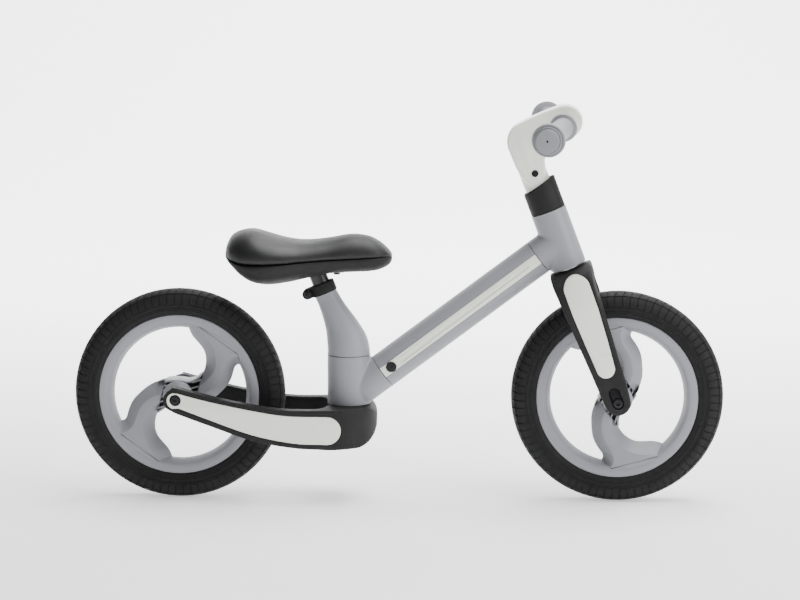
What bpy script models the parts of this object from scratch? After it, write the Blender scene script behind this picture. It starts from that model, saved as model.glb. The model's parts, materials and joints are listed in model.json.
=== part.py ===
# Child's balance bike: moulded frame, two spoked wheels, steered fork and height-adjustable saddle.
# Metres, +Z up, +X towards the front wheel. The origin is on the ground, midway between the axles.
from math import cos, hypot, pi, radians, sin, tan

import bmesh
import bpy
from mathutils import Matrix, Vector

# Driving dimensions
WHEEL_RADIUS = 0.145
WHEELBASE = 0.600
TYRE_HALF_WIDTH = 0.022
RIM_RADIUS = 0.1100
RIM_HALF_WIDTH = 0.0185
FRAME_HALF_WIDTH = 0.065        # outer faces of the rear arms and the fork legs
ARM_THICKNESS = 0.019
TUBE_RADIUS = 0.0245            # main tube and head tube
SEAT_TUBE_RADIUS = 0.0293
SEAT_TUBE_X = -0.0675
SEAT_TUBE_FOOT = 0.1322
SEAT_TUBE_SEAM = 0.2000
MAIN_TUBE_START = (-0.0200, 0.1775)
MAIN_TUBE_ANGLE = radians(36.9)
MAIN_TUBE_LENGTH = 0.2646
HEAD_TILT = radians(20.57)
HEAD_TUBE_LENGTH = 0.0812
AXLE_TO_HEAD = 0.1907           # front axle up to the head tube's lower end, along the steering axis
COLLAR_RADIUS = 0.0233
STEM_RADIUS = 0.0190
BAR_REACH = 0.0640              # handlebar clamp ahead of the steering axis
BAR_HEIGHT = 0.1865             # handlebar clamp above the head tube's lower end
BAR_RADIUS = 0.0110
BAR_SWEEP = radians(11.8)
BAR_BEND = 0.0600               # the straight middle runs this far to each side
GRIP_START = 0.0800
GRIP_LENGTH = 0.1130
SEAT_POST_TILT = radians(22.0)
SEAT_TUBE_TOP = (-0.1005, 0.2870)
SEAT_POST_RADIUS = 0.0120
GAP = 0.0003                    # between pieces that touch

REAR_AXLE = Vector((-WHEELBASE / 2, 0, WHEEL_RADIUS))
FRONT_AXLE = Vector((WHEELBASE / 2, 0, WHEEL_RADIUS))
HEAD_FOOT = FRONT_AXLE + AXLE_TO_HEAD * Vector((-sin(HEAD_TILT), 0, cos(HEAD_TILT)))

AXLE_RADIUS = 0.0060
AXLE_BORE = 0.0033
BOLT_RADIUS = 0.0030
BOLT_HEAD_RADIUS = 0.0068
BEARING_RADIUS = 0.0140
BEARING_WIDTH = 0.0080
HUB_HALF_WIDTH = 0.0300
SPOKE_TURN = radians(51.5)      # front spokes against the rear ones
SPOKE_HALF_WIDTH = 0.0165
PANEL_THICKNESS = 0.0030
PANEL_PROUD = 0.0006

parts = {}


def clear_scene():
    for thing in list(bpy.data.objects):
        bpy.data.objects.remove(thing, do_unlink=True)


def material(name, colour, roughness, metallic=0.0):
    mat = bpy.data.materials.new(name)
    mat.use_nodes = True
    shader = mat.node_tree.nodes["Principled BSDF"]
    shader.inputs["Base Color"].default_value = (*colour, 1)
    shader.inputs["Roughness"].default_value = roughness
    shader.inputs["Metallic"].default_value = metallic
    return mat


def empty(name, location, tilt=0.0, parent=None):
    """A joint's frame: its origin and its turn about Y."""
    thing = bpy.data.objects.new(name, None)
    bpy.context.scene.collection.objects.link(thing)
    thing.parent = parent
    thing.location = location
    thing.rotation_euler = (0, tilt, 0)
    return thing


def place(name, mesh, mat=None, parent=None, location=(0, 0, 0), rotation=(0, 0, 0)):
    """Make an object from a bmesh; one without a material is a cutter or a guide."""
    bmesh.ops.recalc_face_normals(mesh, faces=mesh.faces)
    data = bpy.data.meshes.new(name)
    mesh.to_mesh(data)
    mesh.free()
    thing = bpy.data.objects.new(name, data)
    bpy.context.scene.collection.objects.link(thing)
    thing.parent = parent
    thing.location = location
    thing.rotation_euler = rotation
    if mat:
        data.materials.append(mat)
        data.shade_smooth()
        data.set_sharp_from_angle(angle=radians(35))
        parts[name] = thing
    else:
        thing.hide_render = True
        thing.display_type = "WIRE"
    return thing


def boolean(target, tool, operation="DIFFERENCE"):
    step = target.modifiers.new(operation.lower(), "BOOLEAN")
    step.operation = operation
    step.object = tool


def arc(centre, radius, start, end, count):
    """Points along a circle, angles in degrees."""
    angles = [radians(start + (end - start) * i / count) for i in range(count + 1)]
    return [(centre[0] + radius * cos(a), centre[1] + radius * sin(a)) for a in angles]


def smooth_line(points, steps=3):
    """A Catmull-Rom curve through a few points of any dimension."""
    knots = [Vector(p) for p in points]
    knots = [2 * knots[0] - knots[1]] + knots + [2 * knots[-1] - knots[-2]]
    line = []
    for a, b, c, d in zip(knots, knots[1:], knots[2:], knots[3:]):
        for i in range(steps):
            t = i / steps
            line.append(0.5 * (2 * b + (c - a) * t + (2 * a - 5 * b + 4 * c - d) * t * t
                               + (3 * b - a - 3 * c + d) * t ** 3))
    line.append(knots[-2])
    return [tuple(p) for p in line]


def slab(outline, low, high):
    """A closed outline in X and Z, extruded along Y from low to high."""
    mesh = bmesh.new()
    face = mesh.faces.new([mesh.verts.new((x, low, z)) for x, z in outline])
    grown = bmesh.ops.extrude_face_region(mesh, geom=[face])["geom"]
    verts = [item for item in grown if isinstance(item, bmesh.types.BMVert)]
    bmesh.ops.translate(mesh, vec=(0, high - low, 0), verts=verts)
    bmesh.ops.triangulate(mesh, faces=mesh.faces)
    return mesh


def turned(profile, sides, axis="Z"):
    """A closed profile of (radius, height) turned about an axis. A profile may touch the axis."""
    mesh = bmesh.new()
    verts = [mesh.verts.new((r, 0, h)) for r, h in profile]
    edges = [mesh.edges.new((verts[i], verts[(i + 1) % len(verts)])) for i in range(len(verts))]
    on_axis = [e for e in edges if all(v.co.x == 0 for v in e.verts)]
    bmesh.ops.delete(mesh, geom=on_axis, context="EDGES_FACES")
    bmesh.ops.spin(mesh, geom=mesh.verts[:] + mesh.edges[:], cent=(0, 0, 0), axis=(0, 0, 1),
                   angle=2 * pi, steps=sides, use_merge=True)
    bmesh.ops.remove_doubles(mesh, verts=mesh.verts, dist=1e-6)
    if axis == "Y":
        bmesh.ops.rotate(mesh, matrix=Matrix.Rotation(-pi / 2, 3, "X"), verts=mesh.verts)
    return mesh


def rod(radius, low, high, sides=16, axis="Z"):
    return turned([(0, low), (radius, low), (radius, high), (0, high)], sides, axis)


def ring(outer, inner, low, high, sides=20, axis="Z"):
    return turned([(inner, low), (outer, low), (outer, high), (inner, high)], sides, axis)


def loft(loops):
    """A closed body through loops of equal length, capped at both ends."""
    mesh = bmesh.new()
    rows = [[mesh.verts.new(p) for p in loop] for loop in loops]
    count = len(loops[0])
    for lower, upper in zip(rows, rows[1:]):
        for i in range(count):
            j = (i + 1) % count
            mesh.faces.new((lower[i], lower[j], upper[j], upper[i]))
    mesh.faces.new(rows[0][::-1])
    mesh.faces.new(rows[-1])
    bmesh.ops.triangulate(mesh, faces=mesh.faces)
    return mesh


def oval(centre, along, across, half_a, half_b, count, power=1.0):
    """A loop of points round a centre in the plane of two unit vectors; power under 1 squares it up."""
    loop = []
    for i in range(count):
        a = 2 * pi * i / count
        ca = abs(cos(a)) ** power * (1 if cos(a) >= 0 else -1)
        sa = abs(sin(a)) ** power * (1 if sin(a) >= 0 else -1)
        loop.append(centre + along * (half_a * ca) + across * (half_b * sa))
    return loop


def bolt(name, mat, head_radius, head_height, length, parent, location, side, radius=BOLT_RADIUS,
         tilt=0.0):
    """A socket-head bolt along Y. side is -1 for a head on the right, +1 on the left."""
    key = head_radius * 0.5
    profile = [(0, head_height * 0.4), (key, head_height * 0.4), (key, head_height),
               (head_radius, head_height), (head_radius, 0), (radius, 0), (radius, -length), (0, -length)]
    mesh = turned(profile, 12)
    turn = Matrix.Rotation(-side * pi / 2, 3, "X")
    bmesh.ops.rotate(mesh, matrix=turn, verts=mesh.verts)
    return place(name, mesh, mat, parent, location, (0, tilt, 0))


def arm_outline():
    """Side view of the rear stay, measured from the rear axle."""
    top = smooth_line([(-0.004, 0.0180), (0.0395, 0.0065), (0.0900, -0.0048), (0.1480, -0.0128),
                       (0.2000, -0.0130)])
    front = [(0.2580, -0.0130)] + arc((0.2570, -0.0275), 0.0145, 75, 0, 4) + arc((0.2440, -0.0390),
                                                                                 0.0275, -15, -80, 5)
    low = smooth_line([(0.2120, -0.0675), (0.1600, -0.0650), (0.1040, -0.0550), (0.0480, -0.0358),
                       (0.0000, -0.0183)])
    end = [(-0.0110, -0.0140), (-0.0155, -0.0085), (-0.0158, 0.0065), (-0.0125, 0.0128)]
    return top + front + low + end


def stay_panel_outline(grow=0.0):
    """Side view of the white panel in a rear arm, measured from the rear axle."""
    top = smooth_line([(0.0030, 0.0095), (0.0395, 0.0000), (0.0900, -0.0110), (0.1480, -0.0203),
                       (0.2060, -0.0213)])
    low = smooth_line([(0.2060, -0.0597), (0.1600, -0.0580), (0.1040, -0.0468), (0.0480, -0.0272),
                       (0.0050, -0.0110)])
    nose = arc((0.2060, -0.0405), 0.0192, 70, -70, 6)
    heel = arc((0.0000, -0.0005), 0.0120, 250, 110, 6)
    return offset(top + nose + low + heel, grow)


def fork_outline():
    """Side view of the fork, in the steering frame: the axle is at (0, -AXLE_TO_HEAD)."""
    end = arc((0, -AXLE_TO_HEAD + 0.001), 0.0176, -170, -10, 8)
    right = [(0.0204, -0.1600), (0.0224, -0.1240), (0.0252, -0.0740), (0.0285, -0.0350),
             (0.0295, -0.0090), (0.0275, -0.0030)]
    left = [(-0.0245, -0.0030), (-0.0260, -0.0090), (-0.0250, -0.0350), (-0.0228, -0.0890),
            (-0.0203, -0.1430)]
    return end + right + left


def fork_panel_outline(grow=0.0):
    """Side view of the white panel in a fork leg, in the steering frame."""
    top = arc((0.0015, -0.0245), 0.0180, 175, 5, 8)
    low = arc((0.0005, -0.1405), 0.0122, 0, -180, 6)
    return offset(top + [(0.0190, -0.0600), (0.0160, -0.1060)] + low + [(-0.0140, -0.0960)], grow)


def offset(outline, grow):
    """The outline moved outwards by grow, negative for inwards."""
    if grow == 0:
        return outline
    area = sum(a[0] * b[1] - b[0] * a[1] for a, b in zip(outline, outline[1:] + outline[:1]))
    sign = grow if area > 0 else -grow
    moved = []
    for before, here, after in zip(outline[-1:] + outline[:-1], outline, outline[1:] + outline[:1]):
        dx, dz = after[0] - before[0], after[1] - before[1]
        size = hypot(dx, dz)
        moved.append((here[0] + sign * dz / size, here[1] - sign * dx / size))
    return moved


def spoke_outline():
    """The S of two spokes round the hub, measured from the axle and the same after half a turn."""
    reach = 0.0980
    inner = smooth_line([(0.0115, 0.0890), (0.0185, 0.0765), (0.0305, 0.0640), (0.0368, 0.0480),
                         (0.0330, 0.0310), (0.0200, 0.0215), (0.0000, 0.0190), (-0.0220, 0.0180),
                         (-0.0410, 0.0110), (-0.0580, -0.0030), (-0.0680, -0.0190), (-0.0750, -0.0370),
                         (-0.0800, -0.0415), (-0.0850, -0.0415)], 2)
    rim = arc((0, 0), reach, 207, 262, 6)
    half = inner + rim
    return half + [(-x, -z) for x, z in half]


def wheel(end, turn, level, parent):
    """Tyre, rim with spokes, two bearings and two hub covers, all turning about the axle.

    turn is the spokes' angle and level the tyre's, which brings a corner of its polygon to the ground.
    """
    half = TYRE_HALF_WIDTH
    side = [(WHEEL_RADIUS - 0.0018, 0.45 * half), (WHEEL_RADIUS - 0.0080, 0.82 * half), (0.1280, half),
            (0.1180, 0.95 * half), (RIM_RADIUS + 0.0008, 0.82 * half), (RIM_RADIUS + 0.0008,
                                                                        0.0150), (0.1043, 0.0150)]
    profile = [(WHEEL_RADIUS, 0)] + side + [(r, -y) for r, y in reversed(side)]
    place(f"{end}_tyre", turned(profile, 36, "Y"), RUBBER, parent, rotation=(0, level, 0))

    wide = RIM_HALF_WIDTH
    side = [(0.0908, 0.0040), (0.0950, 0.0135), (RIM_RADIUS, wide), (RIM_RADIUS, 0.0153),
            (0.1040, 0.0153)]
    profile = side + [(r, -y) for r, y in reversed(side)]
    rim = place(f"{end}_rim", turned(profile, 36, "Y"), GREY, parent, rotation=(0, -turn, 0))
    spokes = place(f"{end}_spoke_guide", slab(spoke_outline(), -SPOKE_HALF_WIDTH, SPOKE_HALF_WIDTH),
                   parent=rim)
    side = [(0.0225, 0.0120), (0.0215, HUB_HALF_WIDTH), (0.0143, HUB_HALF_WIDTH), (0.0143, 0.0217),
            (0.0090, 0.0217)]
    barrel = turned(side + [(r, -y) for r, y in reversed(side)], 20, "Y")
    hub = place(f"{end}_hub_guide", barrel, parent=rim)
    bore = place(f"{end}_hub_bore_cutter", rod(0.0200, -0.05, 0.05, 20, "Y"), parent=rim)
    boolean(rim, spokes, "UNION")
    boolean(rim, bore)
    boolean(rim, hub, "UNION")

    for name, sign in (("right", -1), ("left", 1)):
        middle = sign * (HUB_HALF_WIDTH - BEARING_WIDTH / 2)
        bearing = ring(BEARING_RADIUS, AXLE_RADIUS + GAP, middle - BEARING_WIDTH / 2,
                       middle + BEARING_WIDTH / 2, 16, "Y")
        place(f"{end}_bearing_{name}", bearing, STEEL, parent)
        base = HUB_HALF_WIDTH + GAP
        dome = [(0.0080, base + 0.0015), (0.0080, base + 0.0105), (0.0125, base + 0.0090),
                (0.0175, base + 0.0055),
                (0.0205, base), (0.0150, base), (0.0150, base + 0.0015)]
        cover = turned([(r, sign * y) for r, y in dome], 16, "Y")
        place(f"{end}_hub_cover_{name}", cover, GREY, parent)


def axle_set(end, parent, slotted):
    """The fixed axle of one wheel and the bolt at each end of it."""
    inner = FRAME_HALF_WIDTH - ARM_THICKNESS
    place(f"{end}_axle", ring(AXLE_RADIUS, AXLE_BORE, -inner + GAP, inner - GAP, 16, "Y"), STEEL, parent)
    for name, side in (("right", -1), ("left", 1)):
        seat = FRAME_HALF_WIDTH - (0.0090 if slotted else 0.0080)
        bolt(f"{end}_axle_bolt_{name}", BLACK_STEEL, BOLT_HEAD_RADIUS, 0.0060, 0.0300, parent,
             (0, side * (seat + GAP), 0), side)


def rear_stay():
    body = place("rear_stay_casting", slab(arm_outline(), -FRAME_HALF_WIDTH, FRAME_HALF_WIDTH), BLACK,
                 location=REAR_AXLE)
    # Seen from above, the front is rounded from one arm to the other.
    half = FRAME_HALF_WIDTH
    nose = [(0.200, -half)] + [(0.2060 + 0.0660 * abs(sin(a)) ** 0.75, -half * cos(a))
                               for a in [pi * i / 14 for i in range(1, 14)]] + [(0.200, half)]
    plan = [(x, y) for x, y in nose + [(-0.05, half), (-0.05, -half)]]
    mesh = bmesh.new()
    face = mesh.faces.new([mesh.verts.new((x, y, -0.09)) for x, y in plan])
    grown = bmesh.ops.extrude_face_region(mesh, geom=[face])["geom"]
    upper = [item for item in grown if isinstance(item, bmesh.types.BMVert)]
    bmesh.ops.translate(mesh, vec=(0, 0, 0.13), verts=upper)
    boolean(body, place("stay_plan_guide", mesh, parent=body), "INTERSECT")
    # The space between the arms, where the wheel turns.
    inner = half - ARM_THICKNESS
    mesh = bmesh.new()
    mouth = arc((0.1500, 0), inner, -90, 90, 10)
    slot = [(-0.06, -inner)] + [(0.1500 + (x - 0.1500) * 0.42, y) for x, y in mouth] + [(-0.06, inner)]
    face = mesh.faces.new([mesh.verts.new((x, y, -0.10)) for x, y in slot])
    grown = bmesh.ops.extrude_face_region(mesh, geom=[face])["geom"]
    upper = [item for item in grown if isinstance(item, bmesh.types.BMVert)]
    bmesh.ops.translate(mesh, vec=(0, 0, 0.15), verts=upper)
    boolean(body, place("stay_gap_cutter", mesh, parent=body))
    for name, side in (("right", -1), ("left", 1)):
        deep = half - PANEL_THICKNESS
        low, high = sorted((side * deep, side * (half + 0.01)))
        pocket = slab(stay_panel_outline(GAP), low, high)
        boolean(body, place(f"stay_pocket_cutter_{name}", pocket, parent=body))
        low, high = sorted((side * (deep + GAP), side * (half + PANEL_PROUD)))
        panel = place(f"stay_panel_{name}", slab(stay_panel_outline(), low, high), WHITE,
                      location=REAR_AXLE)
        hole = place(f"stay_panel_hole_cutter_{name}", rod(0.0076, -0.09, 0.09, 16, "Y"), parent=panel)
        boolean(panel, hole)
        low, high = sorted((side * (half - 0.0080), side * (half + 0.01)))
        boolean(body, place(f"stay_bolt_seat_cutter_{name}", rod(0.0076, low, high, 16, "Y"),
                            parent=body))
    boolean(body, place("stay_bolt_hole_cutter", rod(AXLE_BORE, -0.09, 0.09, 12, "Y"), parent=body))
    # The bolt that holds the seat tube comes up from below.
    foot = (SEAT_TUBE_X - REAR_AXLE.x, 0, 0)
    sink = turned([(0, -0.10), (0.0090, -0.10), (0.0090, -0.0450), (0.0043, -0.0450), (0.0043, 0.02),
                   (0, 0.02)], 12)
    boolean(body, place("stay_frame_bolt_cutter", sink, parent=body, location=foot))


def seat_tube():
    """The socket with its branch, and the upper seat tube that leans back to the clamp."""
    x, foot = SEAT_TUBE_X, SEAT_TUBE_FOOT + GAP
    radius = SEAT_TUBE_RADIUS
    socket = place("seat_tube_socket", rod(radius, foot, SEAT_TUBE_SEAM, 28), GREY, location=(x, 0, 0))
    turn = pi / 2 - MAIN_TUBE_ANGLE
    start = (MAIN_TUBE_START[0] - x, 0, MAIN_TUBE_START[1])
    branch = place("socket_branch_guide", rod(TUBE_RADIUS, -0.050, 0, 28), parent=socket, location=start,
                   rotation=(0, turn, 0))
    spigot = place("socket_spigot_guide", rod(TUBE_RADIUS - 0.0033, -0.040, 0.045, 20), parent=socket,
                   location=start, rotation=(0, turn, 0))
    trim = slab([(-0.06, 0.10), (0.14, 0.10), (0.14, foot), (-0.06, foot)], -0.05, 0.05)
    well = place("socket_well_cutter", rod(0.0180, SEAT_TUBE_SEAM - 0.0300, SEAT_TUBE_SEAM + 0.01, 20),
                 parent=socket)
    hole = place("socket_bolt_hole_cutter", rod(0.0043, 0.10, 0.165, 12), parent=socket)
    across = place("socket_cross_hole_cutter", rod(0.0053, -0.04, 0.04, 12, "Y"), parent=socket,
                   location=(start[0] + 0.0150 * cos(MAIN_TUBE_ANGLE), 0,
                             start[2] + 0.0150 * sin(MAIN_TUBE_ANGLE)))
    boolean(socket, branch, "UNION")
    boolean(socket, spigot, "UNION")
    boolean(socket, place("socket_foot_cutter", trim, parent=socket))
    boolean(socket, well)
    boolean(socket, hole)
    boolean(socket, across)
    frame_bolt = [(0, -0.0065), (0.0075, -0.0065), (0.0075, 0), (0.0040, 0), (0.0040, 0.0600),
                  (0, 0.0600)]
    place("frame_bolt", turned(frame_bolt, 12), STEEL, location=(x, 0, REAR_AXLE.z - 0.0450 - GAP))

    lean = Vector((-sin(SEAT_POST_TILT), 0, cos(SEAT_POST_TILT)))
    top = Vector((SEAT_TUBE_TOP[0], 0, SEAT_TUBE_TOP[1]))
    side = Vector((0, 1, 0))
    # Each station: centre x, centre z, half length, half width, lean in degrees.
    stations = [(x, SEAT_TUBE_SEAM + GAP, radius, radius, 0), (x, 0.2080, radius - 0.0005, radius, 3),
                (-0.0705, 0.2220, 0.0273, 0.0278, 10), (-0.0775, 0.2410, 0.0224, 0.0235, 17),
                (-0.0880, 0.2620, 0.0176, 0.0186, 21), (top.x, top.z, 0.0155, 0.0155, 22)]
    loops = []
    for cx, cz, long_half, wide_half, angle in stations:
        along = Vector((cos(radians(angle)), 0, sin(radians(angle))))
        loops.append(oval(Vector((cx, 0, cz)), along, side, long_half, wide_half, 24))
    upper = place("seat_tube_upper", loft(loops), GREY)
    post = rod(SEAT_POST_RADIUS + GAP, -0.0780, 0.02, 20)
    bore = place("seat_tube_bore_cutter", post, parent=upper, location=top,
                 rotation=(0, -SEAT_POST_TILT, 0))
    plug = place("seat_tube_plug_guide", rod(0.0177, SEAT_TUBE_SEAM - 0.0280, SEAT_TUBE_SEAM + 0.004, 20),
                 parent=upper,
                 location=(x, 0, 0))
    boolean(upper, plug, "UNION")
    boolean(upper, bore)

    # The clamp is a split band with two lugs behind it.
    outer, inner = 0.0175, 0.0161
    hole = SEAT_POST_RADIUS + GAP
    band = turned([(inner, -0.0150), (outer, -0.0150), (outer, 0), (hole, 0), (hole, -0.0122),
                   (inner, -0.0122)], 28)
    clamp = place("seat_clamp", band, BLACK, location=top + lean * 0.0125,
                  rotation=(0, -SEAT_POST_TILT, 0))
    lug = slab([(-outer - 0.0125, -0.0145), (-inner - 0.0005, -0.0145), (-inner - 0.0005, -0.0005),
                (-outer - 0.0125, -0.0005)],
               -0.0090, 0.0090)
    boolean(clamp, place("clamp_lug_guide", lug, parent=clamp), "UNION")
    split = slab([(-0.04, -0.03), (-0.008, -0.03), (-0.008, 0.02), (-0.04, 0.02)], -0.0010, 0.0010)
    boolean(clamp, place("clamp_split_cutter", split, parent=clamp))
    bolt_place = (-outer - 0.0065, 0, -0.0075)
    boolean(clamp, place("clamp_bolt_cutter", rod(0.0028, -0.03, 0.03, 12, "Y"), parent=clamp,
                         location=bolt_place))
    along = Vector((cos(SEAT_POST_TILT), 0, sin(SEAT_POST_TILT)))
    spot = top + lean * 0.0125 + along * bolt_place[0] + lean * bolt_place[2]
    bolt("clamp_bolt", STEEL, 0.0045, 0.0035, 0.0220, None, spot + Vector((0, -0.0090 - GAP, 0)), -1,
         0.0025)
    place("clamp_nut", ring(0.0045, 0.0033, 0.0090 + GAP, 0.0125, 6, "Y"), STEEL, location=spot)


def main_tube():
    """The straight tube, an inlay strip in each side of it, and its through bolt."""
    start = Vector((MAIN_TUBE_START[0], 0, MAIN_TUBE_START[1]))
    turn = (0, pi / 2 - MAIN_TUBE_ANGLE, 0)
    tube = place("main_tube", ring(TUBE_RADIUS, TUBE_RADIUS - 0.0030, GAP, MAIN_TUBE_LENGTH - GAP, 32),
                 GREY,
                 location=start, rotation=turn)
    for name, side in (("right", -1), ("left", 1)):
        # In the tube's frame X points down and forward, Z along the tube.
        half = 0.0078
        bottom = TUBE_RADIUS - 0.0020
        low, high = sorted((side * bottom, side * (TUBE_RADIUS + 0.01)))
        shape = [(-half - GAP, -0.01), (half + GAP, -0.01), (half + GAP, 0.3), (-half - GAP, 0.3)]
        boolean(tube, place(f"main_tube_groove_cutter_{name}", slab(shape, low, high), parent=tube))
        shape = [(-half, GAP), (half, GAP), (half, MAIN_TUBE_LENGTH - GAP),
                 (-half, MAIN_TUBE_LENGTH - GAP)]
        low, high = sorted((side * (bottom + GAP), side * (TUBE_RADIUS + 0.0002)))
        panel = place(f"main_tube_panel_{name}", slab(shape, low, high), WHITE, location=start,
                      rotation=turn)
        boolean(panel, place(f"main_tube_panel_cutter_{name}", rod(0.0053, -0.04, 0.04, 16, "Y"),
                             parent=panel,
                             location=(0, 0, 0.0150)))
    boolean(tube, place("main_tube_cross_cutter", rod(0.0053, -0.04, 0.04, 16, "Y"), parent=tube,
                        location=(0, 0, 0.0150)))
    spot = start + 0.0150 * Vector((cos(MAIN_TUBE_ANGLE), 0, sin(MAIN_TUBE_ANGLE)))
    face = TUBE_RADIUS + 0.0002 + GAP
    sleeve = [(0.0068, face + 0.0020), (0.0068, face), (0.0050, face), (0.0050, -0.0150),
              (0.0030, -0.0150),
              (0.0030, face - 0.0040), (0, face - 0.0040), (0, face + 0.0020)]
    place("main_tube_sleeve_nut", turned(sleeve, 16, "Y"), BLACK_STEEL, location=spot)
    bolt("main_tube_bolt", BLACK_STEEL, 0.0068, 0.0020, 0.0420, None, spot + Vector((0, -face, 0)), -1,
         0.0027)


def head_lug():
    """Head tube with the branch that plugs into the main tube, in the steering frame."""
    tilt = (0, -HEAD_TILT, 0)
    lug = place("head_lug", rod(TUBE_RADIUS, 0, HEAD_TUBE_LENGTH, 32), GREY, location=HEAD_FOOT,
                rotation=tilt)
    end = Vector((MAIN_TUBE_START[0], 0, MAIN_TUBE_START[1]))
    end += MAIN_TUBE_LENGTH * Vector((cos(MAIN_TUBE_ANGLE), 0, sin(MAIN_TUBE_ANGLE)))
    local = Matrix.Rotation(HEAD_TILT, 3, "Y") @ (end - HEAD_FOOT)
    turn = (0, pi / 2 - MAIN_TUBE_ANGLE + HEAD_TILT, 0)
    branch = place("head_branch_guide", rod(TUBE_RADIUS, 0, 0.040, 32), parent=lug, location=local,
                   rotation=turn)
    spigot = place("head_spigot_guide", rod(TUBE_RADIUS - 0.0033, -0.035, 0.030, 20), parent=lug,
                   location=local, rotation=turn)
    seat = 0.0090
    core = turned([(0, -0.01), (0.0203, -0.01), (0.0203, seat), (0.0165, seat),
                   (0.0165, HEAD_TUBE_LENGTH - seat),
                   (0.0203, HEAD_TUBE_LENGTH - seat), (0.0203, 0.1), (0, 0.1)], 24)
    foot = rod(0.06, -0.06, 0, 12)
    boolean(lug, branch, "UNION")
    boolean(lug, spigot, "UNION")
    boolean(lug, place("head_core_cutter", core, parent=lug))
    boolean(lug, place("head_foot_cutter", foot, parent=lug))
    for name, low in (("lower", GAP), ("upper", HEAD_TUBE_LENGTH - seat + GAP)):
        bearing = ring(0.0200, 0.0140 + GAP, low, low + seat - 2 * GAP, 20)
        place(f"headset_bearing_{name}", bearing, STEEL, location=HEAD_FOOT, rotation=tilt)


def fork(parent):
    """Crown and two legs. The crown clears the tyre, and each leg ends in a recess for the bolt."""
    half = FRAME_HALF_WIDTH
    body = place("fork", slab(fork_outline(), -half, half), BLACK, parent)
    # Seen from the front, an arch with rounded shoulders.
    shoulder = [(-half, -0.22), (-half, -0.0090)] + arc((-half + 0.0060, -0.0090), 0.0060, 180, 90, 4)
    outside = shoulder + [(-x, z) for x, z in reversed(shoulder)]
    inner = half - ARM_THICKNESS
    leg = [(-inner, -0.23), (-inner, -0.0550)] + arc((-inner + 0.0220, -0.0440), 0.0220, 180, 90, 4)
    inside = leg + [(-x, z) for x, z in reversed(leg)]
    turned_front = (0, 0, pi / 2)
    outer_guide = place("fork_front_guide", slab(outside, -0.04, 0.04), parent=body,
                        rotation=turned_front)
    inner_cutter = place("fork_arch_cutter", slab(inside, -0.05, 0.05), parent=body,
                         rotation=turned_front)
    boolean(body, outer_guide, "INTERSECT")
    boolean(body, inner_cutter)
    for name, side in (("right", -1), ("left", 1)):
        deep = half - PANEL_THICKNESS
        low, high = sorted((side * deep, side * (half + 0.01)))
        boolean(body, place(f"fork_pocket_cutter_{name}", slab(fork_panel_outline(GAP), low, high),
                            parent=body))
        low, high = sorted((side * (deep + GAP), side * (half + PANEL_PROUD)))
        place(f"fork_panel_{name}", slab(fork_panel_outline(), low, high), WHITE, parent)
        low, high = sorted((side * (half - 0.0090), side * (half + 0.01)))
        recess = arc((0, -AXLE_TO_HEAD + 0.0145), 0.0078, 0, 180, 6) + arc((0, -AXLE_TO_HEAD), 0.0078,
                                                                           180, 360, 6)
        boolean(body, place(f"fork_recess_cutter_{name}", slab(recess, low, high), parent=body))
    hole = rod(AXLE_BORE, -0.09, 0.09, 12, "Y")
    boolean(body, place("fork_bolt_hole_cutter", hole, parent=body, location=(0, 0, -AXLE_TO_HEAD)))
    boolean(body, place("fork_steerer_cutter", rod(0.0140 + GAP, -0.0150, 0.01, 20), parent=body))
    place("steerer_tube", ring(0.0140, 0.0115, -0.0150 + GAP, 0.1500, 24), STEEL, parent)


def collar_and_stem(parent):
    """The slanted black collar over the head tube, and the white 7-shaped stem above it."""
    low = HEAD_TUBE_LENGTH + GAP
    collar = place("head_collar", ring(COLLAR_RADIUS, 0.0143, low, 0.135, 28), BLACK, parent)
    slant = slab([(-0.04, 0.1095), (0.04, 0.1325), (0.04, 0.16), (-0.04, 0.16)], -0.04, 0.04)
    boolean(collar, place("collar_slant_cutter", slant, parent=collar))
    well = rod(STEM_RADIUS + 2 * GAP, 0.0990, 0.16, 28)
    boolean(collar, place("collar_well_cutter", well, parent=collar))

    # The stem's post is round; its arm runs forward to the handlebar.
    stem = place("stem", rod(STEM_RADIUS, 0.0990 + GAP, 0.1850, 28), WHITE, parent)
    corner = arc((0.0065, 0.1830), 0.0262, 180, 108, 5)
    nose = arc((BAR_REACH, BAR_HEIGHT), 0.0222, 80, -95, 10)
    under = [(0.0440, 0.1650)] + arc((0.0290, 0.1530), 0.0110, 70, 170, 4)
    arm = corner + [(0.0200, 0.2080)] + nose + under + [(0.0180, 0.1400), (-0.0190, 0.1400)]
    boolean(stem, place("stem_arm_guide", slab(arm, -0.0175, 0.0175), parent=stem), "UNION")
    boolean(stem, place("stem_bore_cutter", rod(0.0140 + GAP, 0.05, 0.1503, 24), parent=stem))
    spot = (BAR_REACH, 0, BAR_HEIGHT)
    boolean(stem, place("stem_bar_cutter", rod(BAR_RADIUS + GAP, -0.03, 0.03, 20, "Y"), parent=stem,
                        location=spot))
    level = 0.1365
    boolean(stem, place("stem_bolt_cutter", rod(0.0028, -0.03, 0.03, 12, "Y"), parent=stem,
                        location=(0, 0, level)))
    steerer = parts["steerer_tube"]
    boolean(steerer, place("steerer_bolt_cutter", rod(0.0028, -0.03, 0.03, 12, "Y"), parent=steerer,
                           location=(0, 0, level)))
    for name, side in (("right", -1), ("left", 1)):
        low, high = sorted((side * 0.0165, side * 0.03))
        boolean(stem, place(f"stem_bolt_seat_cutter_{name}", rod(0.0048, low, high, 14, "Y"), parent=stem,
                            location=(0, 0, level)))
    bolt("stem_bolt", BLACK_STEEL, 0.0044, 0.0022, 0.0360, parent, (0, -0.0165 - GAP, level), -1, 0.0025)
    place("stem_nut", ring(0.0047, 0.0033, 0.0165 + GAP, 0.0187, 6, "Y"), BLACK_STEEL, parent,
          (0, 0, level))


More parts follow.
